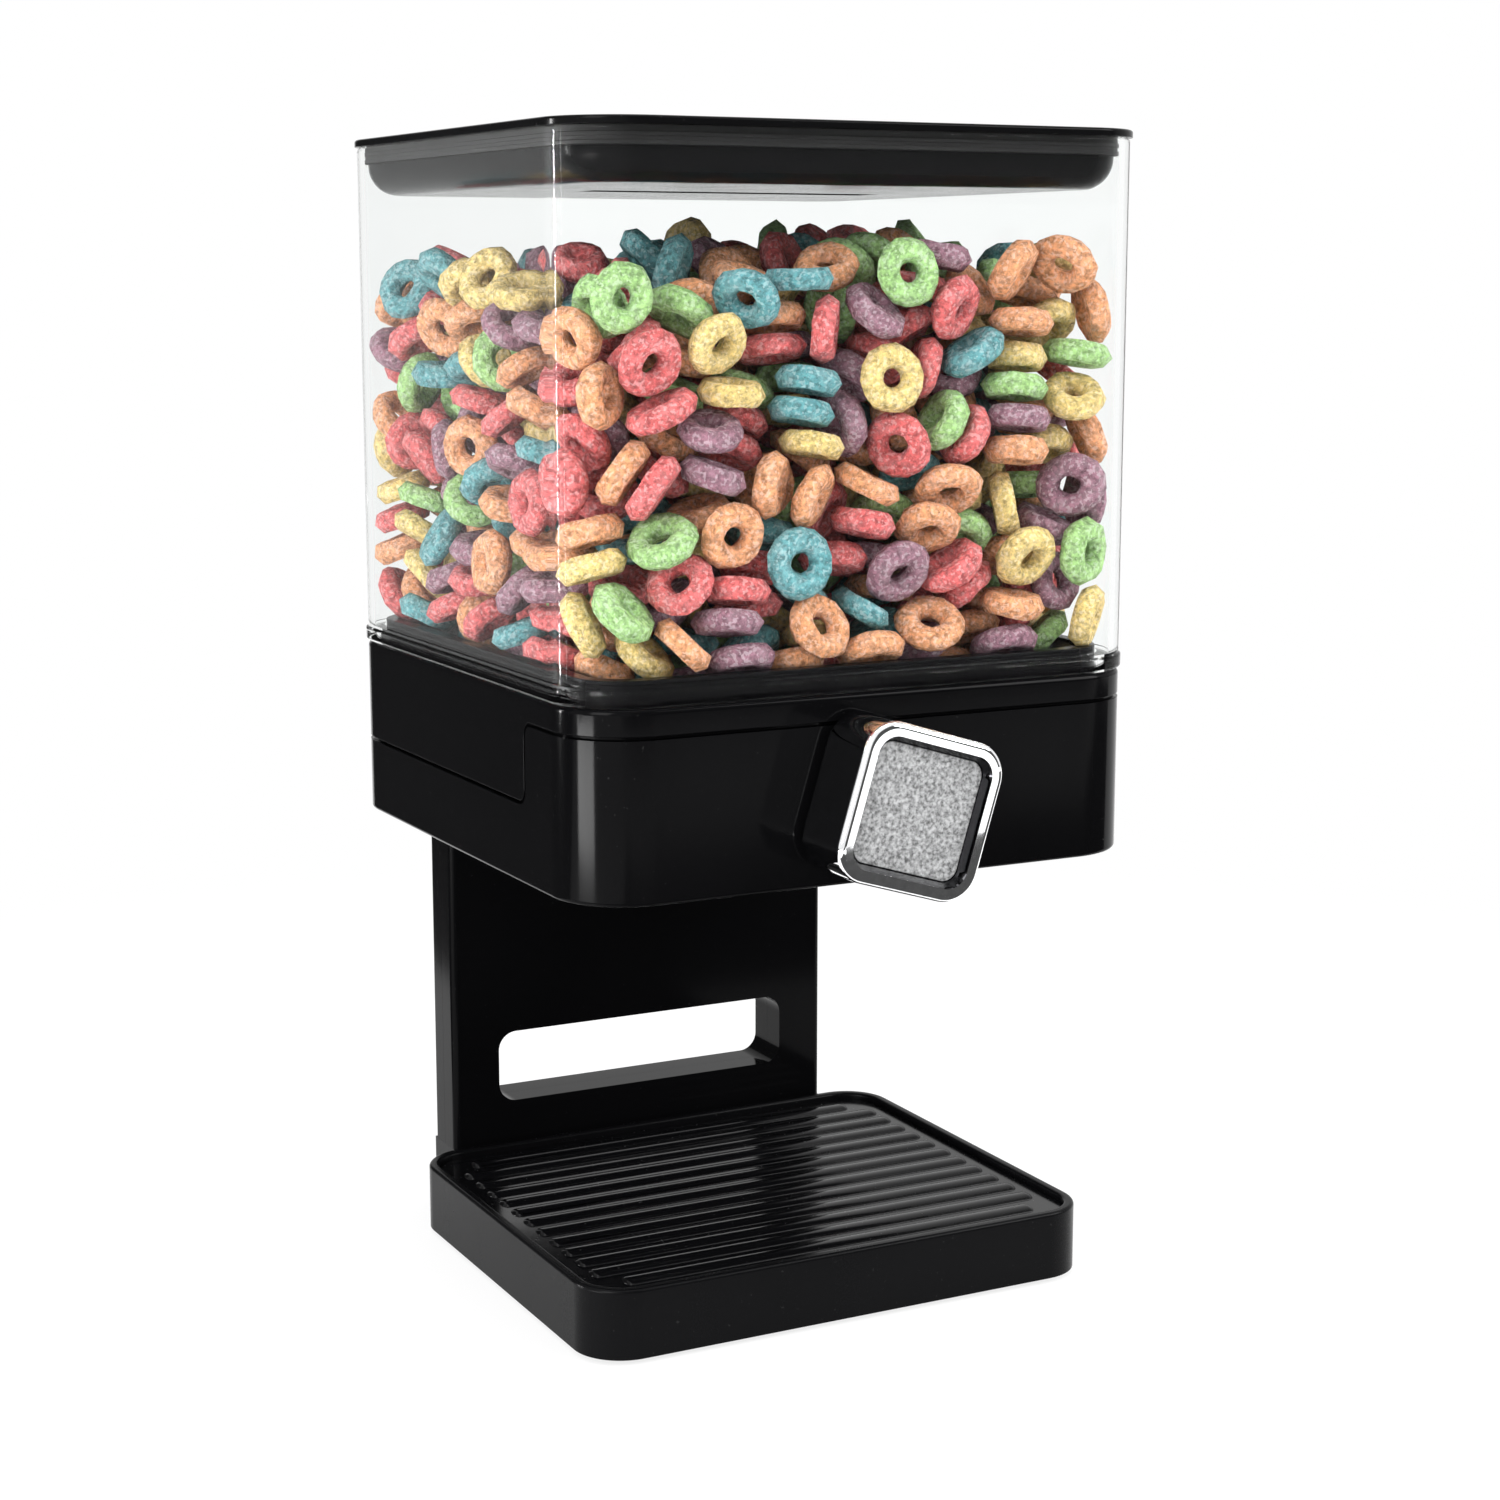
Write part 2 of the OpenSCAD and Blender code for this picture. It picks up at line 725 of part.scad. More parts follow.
// ---- knob, shaft and wheel ----
module knob_section() {
    edge = 1.8;
    low = kn_front - face_in - 0.8;
    translate([kn_r - kn_wall, kn_back + 0.8]) square([kn_wall, knob_len - 0.8 - edge]);
    translate([kn_r - kn_wall, kn_back]) square([kn_wall - 0.8, knob_len - edge]);
    translate([kn_r - 0.8, kn_back + 0.8]) circle(r = 0.8, $fn = 32);
    intersection() {
        translate([kn_r - edge, kn_front - edge]) circle(r = edge);
        translate([kn_r - edge, kn_front - edge]) square(edge + 1);
    }
    polygon([
        [kn_r - kn_rim, low], [kn_r - edge + 0.1, low], [kn_r - edge + 0.1, kn_front],
        [kn_r - kn_rim + 1.4, kn_front], [kn_r - kn_rim, kn_front - face_in]]);
}

module knob_shell() {
    color([0.8, 0.8, 0.82]) on_axis_turned() sweep(kc, kc) knob_section();
}

module knob_face() {
    x = kn_r - kn_rim - 0.15;
    color([0.7, 0.7, 0.71]) on_axis_turned()
        block(kc, kc, x, kn_front - face_in - face_t, kn_front - face_in);
}

module knob_core() {
    front = kn_front - face_in - face_t;
    color([0.08, 0.08, 0.085]) on_axis_turned() difference() {
        block(kc, kc, kn_r - kn_wall - 0.3, kn_back + 1, front);
        difference() {
            block(kc, kc, kn_r - kn_wall - 2.5, kn_back, front - 9);
            cylinder(r = shaft_r + 4, h = front);
        }
        cylinder(r = shaft_r + run_gap, h = shaft_end);
        cylinder(r = 2 + run_gap, h = front + 1);
        translate([0, 0, front - 3]) cylinder(r = 4 + run_gap, h = 4);
    }
}

module knob_screw() {
    top = kn_front - face_in - face_t - 0.4;
    color([0.6, 0.6, 0.62]) on_axis_turned() difference() {
        union() {
            translate([0, 0, top - 2.6]) cylinder(r = 4, h = 2.6);
            translate([0, 0, shaft_end - 12]) cylinder(r = 2, h = top - shaft_end + 11);
        }
        translate([0, 0, top - 1.4]) cylinder(r = 1.7, h = 2, $fn = 6);
    }
}

module drive_shaft() {
    color([0.62, 0.62, 0.64]) on_axis_turned() difference() {
        translate([0, 0, -clip_at - 2.4]) cylinder(r = shaft_r, h = shaft_end + clip_at + 2.4);
        tube(shaft_r - 0.8, shaft_r + 1, -clip_at - 1.1, -clip_at);
        translate([0, 0, shaft_end - 14]) cylinder(r = 2 + run_gap, h = 20);
        pin_bore();
    }
}

module pin_bore() {
    rotate([0, 90, 0]) translate([0, 0, -hub_r - 1])
        cylinder(r = 1.25 + run_gap, h = 2 * hub_r + 2);
}

module wheel_hub() {
    color([0.12, 0.12, 0.13]) on_axis_turned() difference() {
        translate([0, 0, -hub_half]) cylinder(r = hub_r, h = 2 * hub_half);
        translate([0, 0, -hub_half - 1]) cylinder(r = shaft_r + run_gap, h = 2 * hub_half + 2);
        pin_bore();
    }
}

module wheel_blades() {
    half = hub_half - 0.4;
    color([0.75, 0.75, 0.74]) on_axis_turned() translate([0, 0, -half])
        linear_extrude(height = 2 * half) difference() {
            union() {
                circle(r = hub_r + 1.6);
                for (a = [30:60:330]) rotate(a) {
                    translate([hub_r + 0.5, -1.1]) square([wheel_r - hub_r - 1.6, 2.2]);
                    translate([wheel_r - 1.1, 0]) circle(r = 1.1, $fn = 32);
                }
            }
            circle(r = hub_r + run_gap);
        }
}

module hub_pin() {
    color([0.6, 0.6, 0.62]) on_axis_turned() rotate([0, 90, 0])
        translate([0, 0, -hub_r + 0.4]) cylinder(r = 1.25, h = 2 * hub_r - 0.8);
}

module shaft_clip() {
    color([0.55, 0.55, 0.57]) on_axis_turned() difference() {
        tube(shaft_r - 0.8 + run_gap, shaft_r + 2.4, -clip_at - 1.05, -clip_at - 0.05);
        translate([0, -2, -clip_at - 3]) cube([20, 4, 6]);
    }
}

base_shell();
foot_front_left();
foot_front_right();
foot_rear_left();
foot_rear_right();
rib_tray();
column_front();
column_back();
column_screws();
cover_screws();
housing();
housing_screws();
wheel_chamber();
chamber_screws();
chute();
chute_screws();
front_bush();
chamber_bushes();
collar();
hopper_tank();
hopper_seal();
funnel();
funnel_screws();
throat_seal();
lid_cap();
lid_seal();
knob_shell();
knob_face();
knob_core();
knob_screw();
drive_shaft();
wheel_hub();
wheel_blades();
hub_pin();
shaft_clip();
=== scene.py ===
"""Countertop gravity bin for dry food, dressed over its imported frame."""
import json
import logging
import math
from dataclasses import dataclass, field
from enum import Enum
from typing import Any, Optional, Sequence, Union

import bmesh
import bpy
import numpy as np
from mathutils import Matrix, Vector

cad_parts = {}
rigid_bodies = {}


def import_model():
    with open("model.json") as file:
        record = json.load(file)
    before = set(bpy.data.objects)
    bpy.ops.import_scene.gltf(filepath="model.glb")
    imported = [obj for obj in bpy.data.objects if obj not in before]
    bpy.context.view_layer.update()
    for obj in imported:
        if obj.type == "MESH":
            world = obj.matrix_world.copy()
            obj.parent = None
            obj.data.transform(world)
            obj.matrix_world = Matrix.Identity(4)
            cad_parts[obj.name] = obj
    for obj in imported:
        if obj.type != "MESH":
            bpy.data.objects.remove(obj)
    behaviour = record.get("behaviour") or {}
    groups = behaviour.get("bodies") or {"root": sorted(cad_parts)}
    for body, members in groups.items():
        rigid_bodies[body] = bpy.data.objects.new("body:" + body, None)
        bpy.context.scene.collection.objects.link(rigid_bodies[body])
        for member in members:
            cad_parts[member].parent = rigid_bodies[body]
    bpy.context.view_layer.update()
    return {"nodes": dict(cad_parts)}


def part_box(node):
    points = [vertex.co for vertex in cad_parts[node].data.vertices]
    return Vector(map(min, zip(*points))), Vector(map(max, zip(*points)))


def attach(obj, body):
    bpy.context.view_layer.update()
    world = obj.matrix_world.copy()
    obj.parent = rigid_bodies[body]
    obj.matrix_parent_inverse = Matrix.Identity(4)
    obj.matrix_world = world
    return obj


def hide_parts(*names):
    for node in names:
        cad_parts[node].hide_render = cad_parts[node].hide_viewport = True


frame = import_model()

SHARP_EDGE = math.radians(38)
FLAT_ENOUGH = math.radians(0.4)
WELD = 2e-6
log = logging.getLogger("gravity_bin")
Colour = tuple[float, float, float]


# ---------------------------------------------------------------- node graphs
class Sock:
    """An output socket that Python's operators work on."""

    def __init__(self, graph: "Graph", socket: Any) -> None:
        """Keeps the graph and the socket it wraps."""
        self.graph = graph
        self.socket = socket

    def _math(self, operation: str, first: "Value", second: "Value") -> "Sock":
        """Adds a Math node.

        Args:
            operation: the Math node's operation.
            first: its first value.
            second: its second value.

        Returns:
            The node's result.
        """
        kind = self.graph.math_kind
        return self.graph.node(kind, {"operation": operation}, {0: first, 1: second})[0]

    def __add__(self, other: "Value") -> "Sock":
        """self + other"""
        return self._math("ADD", self, other)

    def __radd__(self, other: "Value") -> "Sock":
        """other + self"""
        return self._math("ADD", other, self)

    def __sub__(self, other: "Value") -> "Sock":
        """self - other"""
        return self._math("SUBTRACT", self, other)

    def __rsub__(self, other: "Value") -> "Sock":
        """other - self"""
        return self._math("SUBTRACT", other, self)

    def __mul__(self, other: "Value") -> "Sock":
        """self * other"""
        return self._math("MULTIPLY", self, other)

    def __rmul__(self, other: "Value") -> "Sock":
        """other * self"""
        return self._math("MULTIPLY", other, self)

    def above(self, level: float) -> "Sock":
        """1 where the value is over the level, else 0."""
        return self._math("GREATER_THAN", self, level)


Value = Union[float, int, str, bool, Sequence[float], Sock, Any]


class Made:
    """A node that was added, whose outputs are read by name or number."""

    def __init__(self, graph: "Graph", node: Any) -> None:
        """Keeps the graph and the node."""
        self.graph = graph
        self.node = node

    def __getitem__(self, key: Union[str, int]) -> Sock:
        """The output socket with that name or number."""
        return Sock(self.graph, self.node.outputs[key])


class Graph:
    """A node tree that is written as expressions."""

    math_kind = "ShaderNodeMath"

    def __init__(self, tree: Any) -> None:
        """Keeps the tree and empties it."""
        self.tree = tree
        self.tree.nodes.clear()

    def node(self, kind: str, settings: Optional[dict] = None,
             inputs: Optional[dict] = None) -> Made:
        """Adds one node.

        Args:
            kind: the node's type.
            settings: its own settings, set before its sockets.
            inputs: values or links by socket name or number.

        Returns:
            The node, wrapped.
        """
        made = self.tree.nodes.new(kind)
        for key, value in (settings or {}).items():
            setattr(made, key, value)
        for key, value in (inputs or {}).items():
            self.feed(made.inputs[key], value)
        return Made(self, made)

    def feed(self, socket: Any, value: Value) -> None:
        """Links a Sock to a socket, or sets its value."""
        if isinstance(value, Sock):
            self.tree.links.new(value.socket, socket)
        elif isinstance(value, tuple) and len(value) == 3 and socket.type == "RGBA":
            socket.default_value = (*value, 1.0)
        else:
            socket.default_value = value


class Shade(Graph):
    """The shader graph of one material."""

    def __init__(self, name: str) -> None:
        """Makes the material with an empty graph."""
        self.material = bpy.data.materials.new(name)
        self.material.use_nodes = True
        super().__init__(self.material.node_tree)
        self.place = self.node("ShaderNodeTexCoord")["Object"]

    def stretched(self, scale: Sequence[float]) -> Sock:
        """The object's coordinates, stretched by a scale for each axis."""
        return self.node("ShaderNodeMapping", {}, {"Vector": self.place, "Scale": tuple(scale)})[0]

    def noise(self, scale: float, detail: float = 3.0, where: Optional[Sock] = None,
              rough: float = 0.5) -> Sock:
        """Smooth noise from 0 to 1.

        Args:
            scale: waves in a metre.
            detail: octaves.
            where: coordinates, the object's own if None.
            rough: weight of the finer octaves.

        Returns:
            The noise.
        """
        return self.node("ShaderNodeTexNoise", {"noise_dimensions": "3D"}, {
            "Vector": where or self.place, "Scale": scale, "Detail": detail,
            "Roughness": rough})["Fac"]

    def cells(self, scale: float) -> Sock:
        """Distance to the nearest of scattered points, with scale points in a metre."""
        return self.node("ShaderNodeTexVoronoi", {"feature": "F1"}, {
            "Vector": self.place, "Scale": scale})["Distance"]

    def blend(self, share: Value, first: Value, second: Value) -> Sock:
        """Mixes two colours by a share from 0 to 1."""
        made = self.node("ShaderNodeMix", {"data_type": "RGBA"}, {0: share, 6: first, 7: second})
        return made[2]

    def bump(self, height: Sock, depth: float, strength: float = 1.0,
             under: Optional[Sock] = None) -> Sock:
        """Bumps the surface.

        Args:
            height: relief from 0 to 1.
            depth: height of the relief in metres.
            strength: share of the effect.
            under: a normal to start from.

        Returns:
            The new normal.
        """
        inputs: dict = {"Height": height, "Distance": depth, "Strength": strength}
        if under is not None:
            inputs["Normal"] = under
        return self.node("ShaderNodeBump", {}, inputs)[0]

    def surface(self, **sockets: Value) -> bpy.types.Material:
        """Ends the graph in a Principled shader.

        Args:
            **sockets: its inputs, with _ for a space.

        Returns:
            The finished material.
        """
        inputs = {key.replace("_", " "): value for key, value in sockets.items()}
        shader = self.node("ShaderNodeBsdfPrincipled", {}, inputs)
        self.node("ShaderNodeOutputMaterial", {}, {"Surface": shader["BSDF"]})
        return self.material


class Steps(Graph):
    """A Geometry Nodes tree with named inputs."""

    def __init__(self, name: str, sizes: dict[str, tuple[str, Any]]) -> None:
        """Makes the tree and its sockets.

        Args:
            name: the tree's name.
            sizes: input name to socket type and default.
        """
        super().__init__(bpy.data.node_groups.new(name, "GeometryNodeTree"))
        face = self.tree.interface
        face.new_socket("Geometry", in_out="OUTPUT", socket_type="NodeSocketGeometry")
        self.keys = {"Geometry": face.new_socket(
            "Geometry", in_out="INPUT", socket_type="NodeSocketGeometry").identifier}
        for label, (kind, value) in sizes.items():
            made = face.new_socket(label, in_out="INPUT", socket_type=kind)
            if value is not None:
                made.default_value = value
            self.keys[label] = made.identifier
        self.given = self.node("NodeGroupInput")

    def read(self, name: str) -> Sock:
        """A vector attribute of the points, by name."""
        return self.node("GeometryNodeInputNamedAttribute", {"data_type": "FLOAT_VECTOR"}, {
            "Name": name})["Attribute"]

    def repeat(self, shape: Sock) -> Sock:
        """Puts the shape on each point, turned and sized by the points' own attributes."""
        turn = self.node("FunctionNodeEulerToRotation", {}, {0: self.read("turn")})[0]
        copies = self.node("GeometryNodeInstanceOnPoints", {}, {
            "Points": self.given["Geometry"], "Instance": shape, "Rotation": turn,
            "Scale": self.read("size")})[0]
        return self.node("GeometryNodeRealizeInstances", {}, {"Geometry": copies})[0]

    def roughened(self, shape: Sock, depth: Sock, scale: float, seed: float) -> Sock:
        """Moves the surface in and out by noise.

        Args:
            shape: the geometry.
            depth: reach of the relief in metres.
            scale: waves in a metre.
            seed: fixed place of the pattern.

        Returns:
            The moved geometry.
        """
        noise = self.node("ShaderNodeTexNoise", {"noise_dimensions": "4D"}, {
            "Scale": scale, "Detail": 1.0, "W": seed})["Fac"]
        normal = self.node("GeometryNodeInputNormal")[0]
        move = self.node("ShaderNodeVectorMath", {"operation": "SCALE"}, {
            0: normal, "Scale": (noise - 0.5) * depth * 2.0})[0]
        return self.node("GeometryNodeSetPosition", {}, {"Geometry": shape, "Offset": move})[0]

    def finish(self, shape: Sock) -> None:
        """Sets the material and ends the tree."""
        last = self.node("GeometryNodeSetMaterial", {}, {
            "Geometry": shape, "Material": self.given["Material"]})[0]
        self.node("NodeGroupOutput", {}, {"Geometry": last})

    def grow(self, name: str, places: np.ndarray, turns: np.ndarray, sizes: np.ndarray,
             values: dict[str, Any]) -> bpy.types.Object:
        """Runs the tree on points and keeps a plain mesh.

        Args:
            name: name of the piece.
            places: points, one row each.
            turns: Euler angles, one row each.
            sizes: scales, one row each.
            values: value of each named input.

        Returns:
            The new object.
        """
        mesh = bpy.data.meshes.new(name + "_points")
        mesh.from_pydata([tuple(map(float, row)) for row in places], [], [])
        for label, rows in (("turn", turns), ("size", sizes)):
            layer = mesh.attributes.new(label, "FLOAT_VECTOR", "POINT")
            layer.data.foreach_set("vector", np.asarray(rows, np.float32).ravel())
        obj = bpy.data.objects.new(name, mesh)
        bpy.context.scene.collection.objects.link(obj)
        modifier = obj.modifiers.new("grow", "NODES")
        modifier.node_group = self.tree
        for label, value in values.items():
            modifier[self.keys[label]] = value
        made = baked(obj)
        obj.modifiers.clear()
        obj.data = made
        reorient(made)
        return obj


# --------------------------------------------------------------- mesh helpers
def baked(obj: bpy.types.Object) -> bpy.types.Mesh:
    """The object's evaluated mesh as plain data."""
    bpy.context.view_layer.update()
    graph = bpy.context.evaluated_depsgraph_get()
    return bpy.data.meshes.new_from_object(obj.evaluated_get(graph), depsgraph=graph,
                                           preserve_all_data_layers=True)


def reorient(mesh: bpy.types.Mesh) -> None:
    """Turns every face outwards."""
    shape = bmesh.new()
    shape.from_mesh(mesh)
    bmesh.ops.recalc_face_normals(shape, faces=shape.faces)
    shape.to_mesh(mesh)
    shape.free()


def polished(node: str, bevel: float) -> bpy.types.Object:
    """A smooth copy of a frame node, with its sharp edges rounded.

    Args:
        node: the frame node.
        bevel: width of the rounding in metres, 0 for none.

    Returns:
        The new object, named after the node.
    """
    mesh = frame["nodes"][node].data.copy()
    shape = bmesh.new()
    shape.from_mesh(mesh)
    bmesh.ops.remove_doubles(shape, verts=shape.verts, dist=WELD)
    bmesh.ops.dissolve_limit(shape, angle_limit=FLAT_ENOUGH, verts=shape.verts,
                             edges=shape.edges)
    shape.to_mesh(mesh)
    shape.free()
    obj = bpy.data.objects.new(node + "_shown", mesh)
    bpy.context.scene.collection.objects.link(obj)
    if bevel > 0:
        edge = obj.modifiers.new("edge", "BEVEL")
        edge.width, edge.segments = bevel, 2
        edge.limit_method, edge.angle_limit = "ANGLE", SHARP_EDGE
        obj.data = baked(obj)
        obj.modifiers.clear()
    obj.data.shade_smooth()
    obj.data.set_sharp_from_angle(angle=SHARP_EDGE)
    even = obj.modifiers.new("even", "WEIGHTED_NORMAL")
    even.keep_sharp = True
    obj.data = baked(obj)
    obj.modifiers.clear()
    return obj


# ------------------------------------------------------------------- finishes
class Slot(Enum):
    """The record's material slots."""

    BLACK = "black_plastic"
    GREY = "grey_plastic"
    CLEAR = "clear_plastic"
    CHROME = "chrome"
    SATIN = "satin_metal"
    RUBBER = "rubber"
    SEAL = "seal_rubber"
    BLADE = "blade_silicone"
    SHAFT = "shaft_steel"
    SCREW = "screw_steel"


@dataclass(frozen=True)
class MouldedPlastic:
    """Opaque moulded plastic, glossy or satin."""

    name: str
    tint: Colour
    rough: float
    grain: float = 2600.0
    grain_depth: float = 0.000004
    sheen_level: float = 0.045

    def build(self) -> bpy.types.Material:
        """The material: flow shading, fine grain, wiping marks and specks of dust."""
        shade = Shade(self.name)
        flow = shade.noise(14.0, 2.0)
        wipe = shade.noise(9.0, 5.0, shade.stretched((6.0, 6.0, 0.7)), 0.6)
        fine = shade.noise(self.grain, 2.0)
        dust = (shade.noise(900.0, 2.0)).above(0.735)
        paler = tuple(min(1.0, c * 1.6 + 0.001) for c in self.tint)
        colour = shade.blend(flow * 0.8, self.tint, paler)
        colour = shade.blend(dust * 0.05, colour, (0.2, 0.2, 0.2))
        rough = self.rough + (wipe - 0.5) * 0.10 + (fine - 0.5) * 0.05 + dust * 0.15
        normal = shade.bump(fine, self.grain_depth, 0.6)
        normal = shade.bump(shade.noise(35.0, 1.0), 0.00006, 0.25, normal)
        return shade.surface(Base_Color=colour, Roughness=rough, Normal=normal,
                             Specular_IOR_Level=self.sheen_level)


@dataclass(frozen=True)
class ClearPlastic:
    """Polished clear plastic with faint flow waves and hairline marks."""

    name: str
    tint: Colour = (0.985, 0.993, 0.99)

    def build(self) -> bpy.types.Material:
        """The material, which lets light through."""
        shade = Shade(self.name)
        haze = shade.noise(20.0, 3.0)
        hair = shade.noise(160.0, 3.0, shade.stretched((1.0, 1.0, 14.0)), 0.6).above(0.70)
        colour = shade.blend(haze, self.tint, (0.965, 0.98, 0.975))
        normal = shade.bump(shade.noise(16.0, 1.0), 0.00010, 0.25)
        return shade.surface(Base_Color=colour, Roughness=0.012 + haze * 0.012 + hair * 0.03,
                             Normal=normal, Transmission_Weight=1.0, IOR=1.14)


@dataclass(frozen=True)
class Metal:
    """Bare or plated metal."""

    name: str
    tint: Colour
    rough: float
    grain: float
    depth: float
    mottle: float = 0.05
    bare: float = 1.0

    def build(self) -> bpy.types.Material:
        """The material: a grained surface with lighter and darker spots."""
        shade = Shade(self.name)
        grain = shade.noise(self.grain, 3.0, None, 0.65)
        cloud = shade.noise(60.0, 2.0)
        dark = tuple(c * (1.0 - 3.0 * self.mottle) for c in self.tint)
        colour = shade.blend((grain - 0.5) * 3.2 + 0.5, dark,
                             tuple(min(1.0, c * 1.10) for c in self.tint))
        rough = self.rough + (grain - 0.5) * self.mottle * 2.4 + (cloud - 0.5) * self.mottle
        return shade.surface(Base_Color=colour, Roughness=rough, Metallic=self.bare,
                             Normal=shade.bump(grain, self.depth, 0.8))


@dataclass(frozen=True)
class SoftRubber:
    """Matt rubber or silicone."""

    name: str
    tint: Colour
    rough: float = 0.7

    def build(self) -> bpy.types.Material:
        """The material: a fine matt skin, paler where it is rubbed."""
        shade = Shade(self.name)
        rub = shade.noise(120.0, 4.0)
        paler = tuple(min(1.0, c * 1.5 + 0.002) for c in self.tint)
        normal = shade.bump(shade.noise(3000.0, 2.0), 0.00001, 0.7)
        return shade.surface(Base_Color=shade.blend(rub, self.tint, paler),
                             Roughness=self.rough + (rub - 0.5) * 0.12, Normal=normal,
                             Specular_IOR_Level=0.14)


@dataclass(frozen=True)
class Crust:
    """Puffed and sugared grain in one colour."""

    name: str
    tint: Colour

    def build(self) -> bpy.types.Material:
        """The material: bumped pits with painted shade in them, blotches and pale sugar crumbs."""
        shade = Shade(self.name)
        blotch = shade.noise(260.0, 3.0)
        grit = shade.noise(620.0, 5.0, None, 0.70)
        crumbs = shade.noise(880.0, 3.0).above(0.565)
        painted_pit_shade = tuple(c * 0.36 for c in self.tint)
        pale = tuple(c * 0.60 + 0.40 for c in self.tint)
        # Painted shade: the crust is darker where grit is low, which is where the relief sinks into
        # pits.
        colour = shade.blend((grit - 0.36) * 4.0, painted_pit_shade, self.tint)
        colour = shade.blend(crumbs * 0.45, colour, pale)
        colour = shade.blend((blotch - 0.45) * 0.8, colour, pale)
        relief = grit * 1.5 + shade.cells(520.0) * 0.6
        return shade.surface(Base_Color=colour, Roughness=0.62 + blotch * 0.2,
                             Normal=shade.bump(relief, 0.0013, 1.0), Specular_IOR_Level=0.3)


class Finishes:
    """Every finish of the bin, built once."""

    def __init__(self) -> None:
        """Builds the materials by slot."""
        gloss = MouldedPlastic("gloss_black", (0.0012, 0.0012, 0.0014), 0.12)
        self.by_slot: dict[Slot, bpy.types.Material] = {
            Slot.BLACK: gloss.build(),
            Slot.GREY: MouldedPlastic("inner_grey", (0.03, 0.03, 0.033), 0.42, 1800.0,
                                      0.00001, 0.4).build(),
            Slot.CLEAR: ClearPlastic("clear_canister").build(),
            Slot.CHROME: Metal("chrome_plate", (0.86, 0.865, 0.875), 0.035, 420.0, 0.000002,
                               0.012).build(),
            Slot.SATIN: Metal("satin_panel", (0.52, 0.525, 0.53), 0.42, 1000.0, 0.00010,
                              0.25, 0.5).build(),
            Slot.RUBBER: SoftRubber("foot_rubber", (0.02, 0.02, 0.02)).build(),
            Slot.SEAL: SoftRubber("seal_rubber", (0.006, 0.006, 0.006), 0.6).build(),
            Slot.BLADE: SoftRubber("blade_silicone", (0.55, 0.55, 0.53), 0.45).build(),
            Slot.SHAFT: Metal("turned_steel", (0.56, 0.57, 0.58), 0.30, 900.0, 0.00001).build(),
            Slot.SCREW: Metal("zinc_steel", (0.60, 0.60, 0.57), 0.36, 700.0, 0.00001).build(),
        }
        # Painted reflection: near-black chrome for the wall round the knob's panel, standing in for
        # dark surroundings reflected in plain chrome.
        self.painted_reflection_chrome = Metal("smoked_chrome", (0.030, 0.030, 0.032), 0.08, 420.0, 0.000002,
                            0.02).build()
        self.tray_black = MouldedPlastic("tray_black", (0.0016, 0.0016, 0.0019), 0.14,
                                         sheen_level=0.15).build()
        self.lid_black = MouldedPlastic("lid_black", (0.0018, 0.0018, 0.002), 0.16,
                                        sheen_level=0.05).build()
        self.satin_black = MouldedPlastic("satin_black", (0.0016, 0.0016, 0.0019), 0.26, 2000.0,
                                          0.000004, 0.06).build()

    def get(self, slot: Slot) -> bpy.types.Material:
        """The material of a slot."""
        return self.by_slot[slot]


# ----------------------------------------------------------------- assemblies
@dataclass
class Assembly:
    """A set of pieces that ride on one body of the frame."""

    finishes: Finishes
    body: str = ""
    made: list[str] = field(default_factory=list)

    def add(self, obj: bpy.types.Object, slot: Slot, material: bpy.types.Material,
            nodes: Sequence[str] = ()) -> None:
        """Dresses a new piece and lets it ride.

        Args:
            obj: the piece.
            slot: its slot in the record; not used.
            material: its finish.
            nodes: frame nodes that it stands for.
        """
        obj.data.materials.clear()
        obj.data.materials.append(material)
        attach(obj, self.body)
        if nodes:
            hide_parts(*nodes)
        self.made.append(obj.name)

    def polish(self, node: str, slot: Slot, bevel: float,
               material: Optional[bpy.types.Material] = None) -> bpy.types.Object:
        """Shows a smooth copy of a node in its place.

        Args:
            node: the frame node.
            slot: its slot in the record.
            bevel: width of its rounded edges in metres.
            material: its finish, the slot's own if None.

        Returns:
            The copy.
        """
        obj = polished(node, bevel)
        self.add(obj, slot, material or self.finishes.get(slot), (node,))
        return obj

    def dress(self, slot: Slot, *nodes: str) -> None:
        """Gives frame nodes that stay as they are the slot's finish."""
        for node in nodes:
            mesh = frame["nodes"][node].data
            mesh.materials.clear()
            mesh.materials.append(self.finishes.get(slot))
            self.made.append(node)

    def report(self) -> None:
        """Logs each piece."""
        for name in self.made:
            log.info("%s: %s on %s", type(self).__name__, name, self.body)


@dataclass
class Stand(Assembly):
    """Base, column, housing, wheel chamber and chute."""

    body: str = "stand"
    edge: float = 0.0005
    column_edge: float = 0.0007

    def build(self) -> None:
        """Builds and dresses the stand."""
        self.polish("base_shell", Slot.BLACK, self.edge, self.finishes.satin_black)
        self.polish("column_front", Slot.BLACK, self.column_edge)
        self.polish("column_back", Slot.BLACK, self.column_edge)
        self.polish("housing", Slot.BLACK, 0.0003)
        self.polish("chute", Slot.BLACK, self.edge)
        for node in ("foot_front_left", "foot_front_right", "foot_rear_left", "foot_rear_right"):
            self.polish(node, Slot.RUBBER, 0.0004)
        self.polish("wheel_chamber", Slot.GREY, 0.0003)
        self.polish("front_bush", Slot.GREY, 0.0002)
        self.polish("chamber_bushes", Slot.GREY, 0.0002)
        self.dress(Slot.SEAL, "throat_seal")
        for node in ("column_screws", "cover_screws", "housing_screws", "chamber_screws",
                     "chute_screws"):
            self.polish(node, Slot.SCREW, 0.0002)


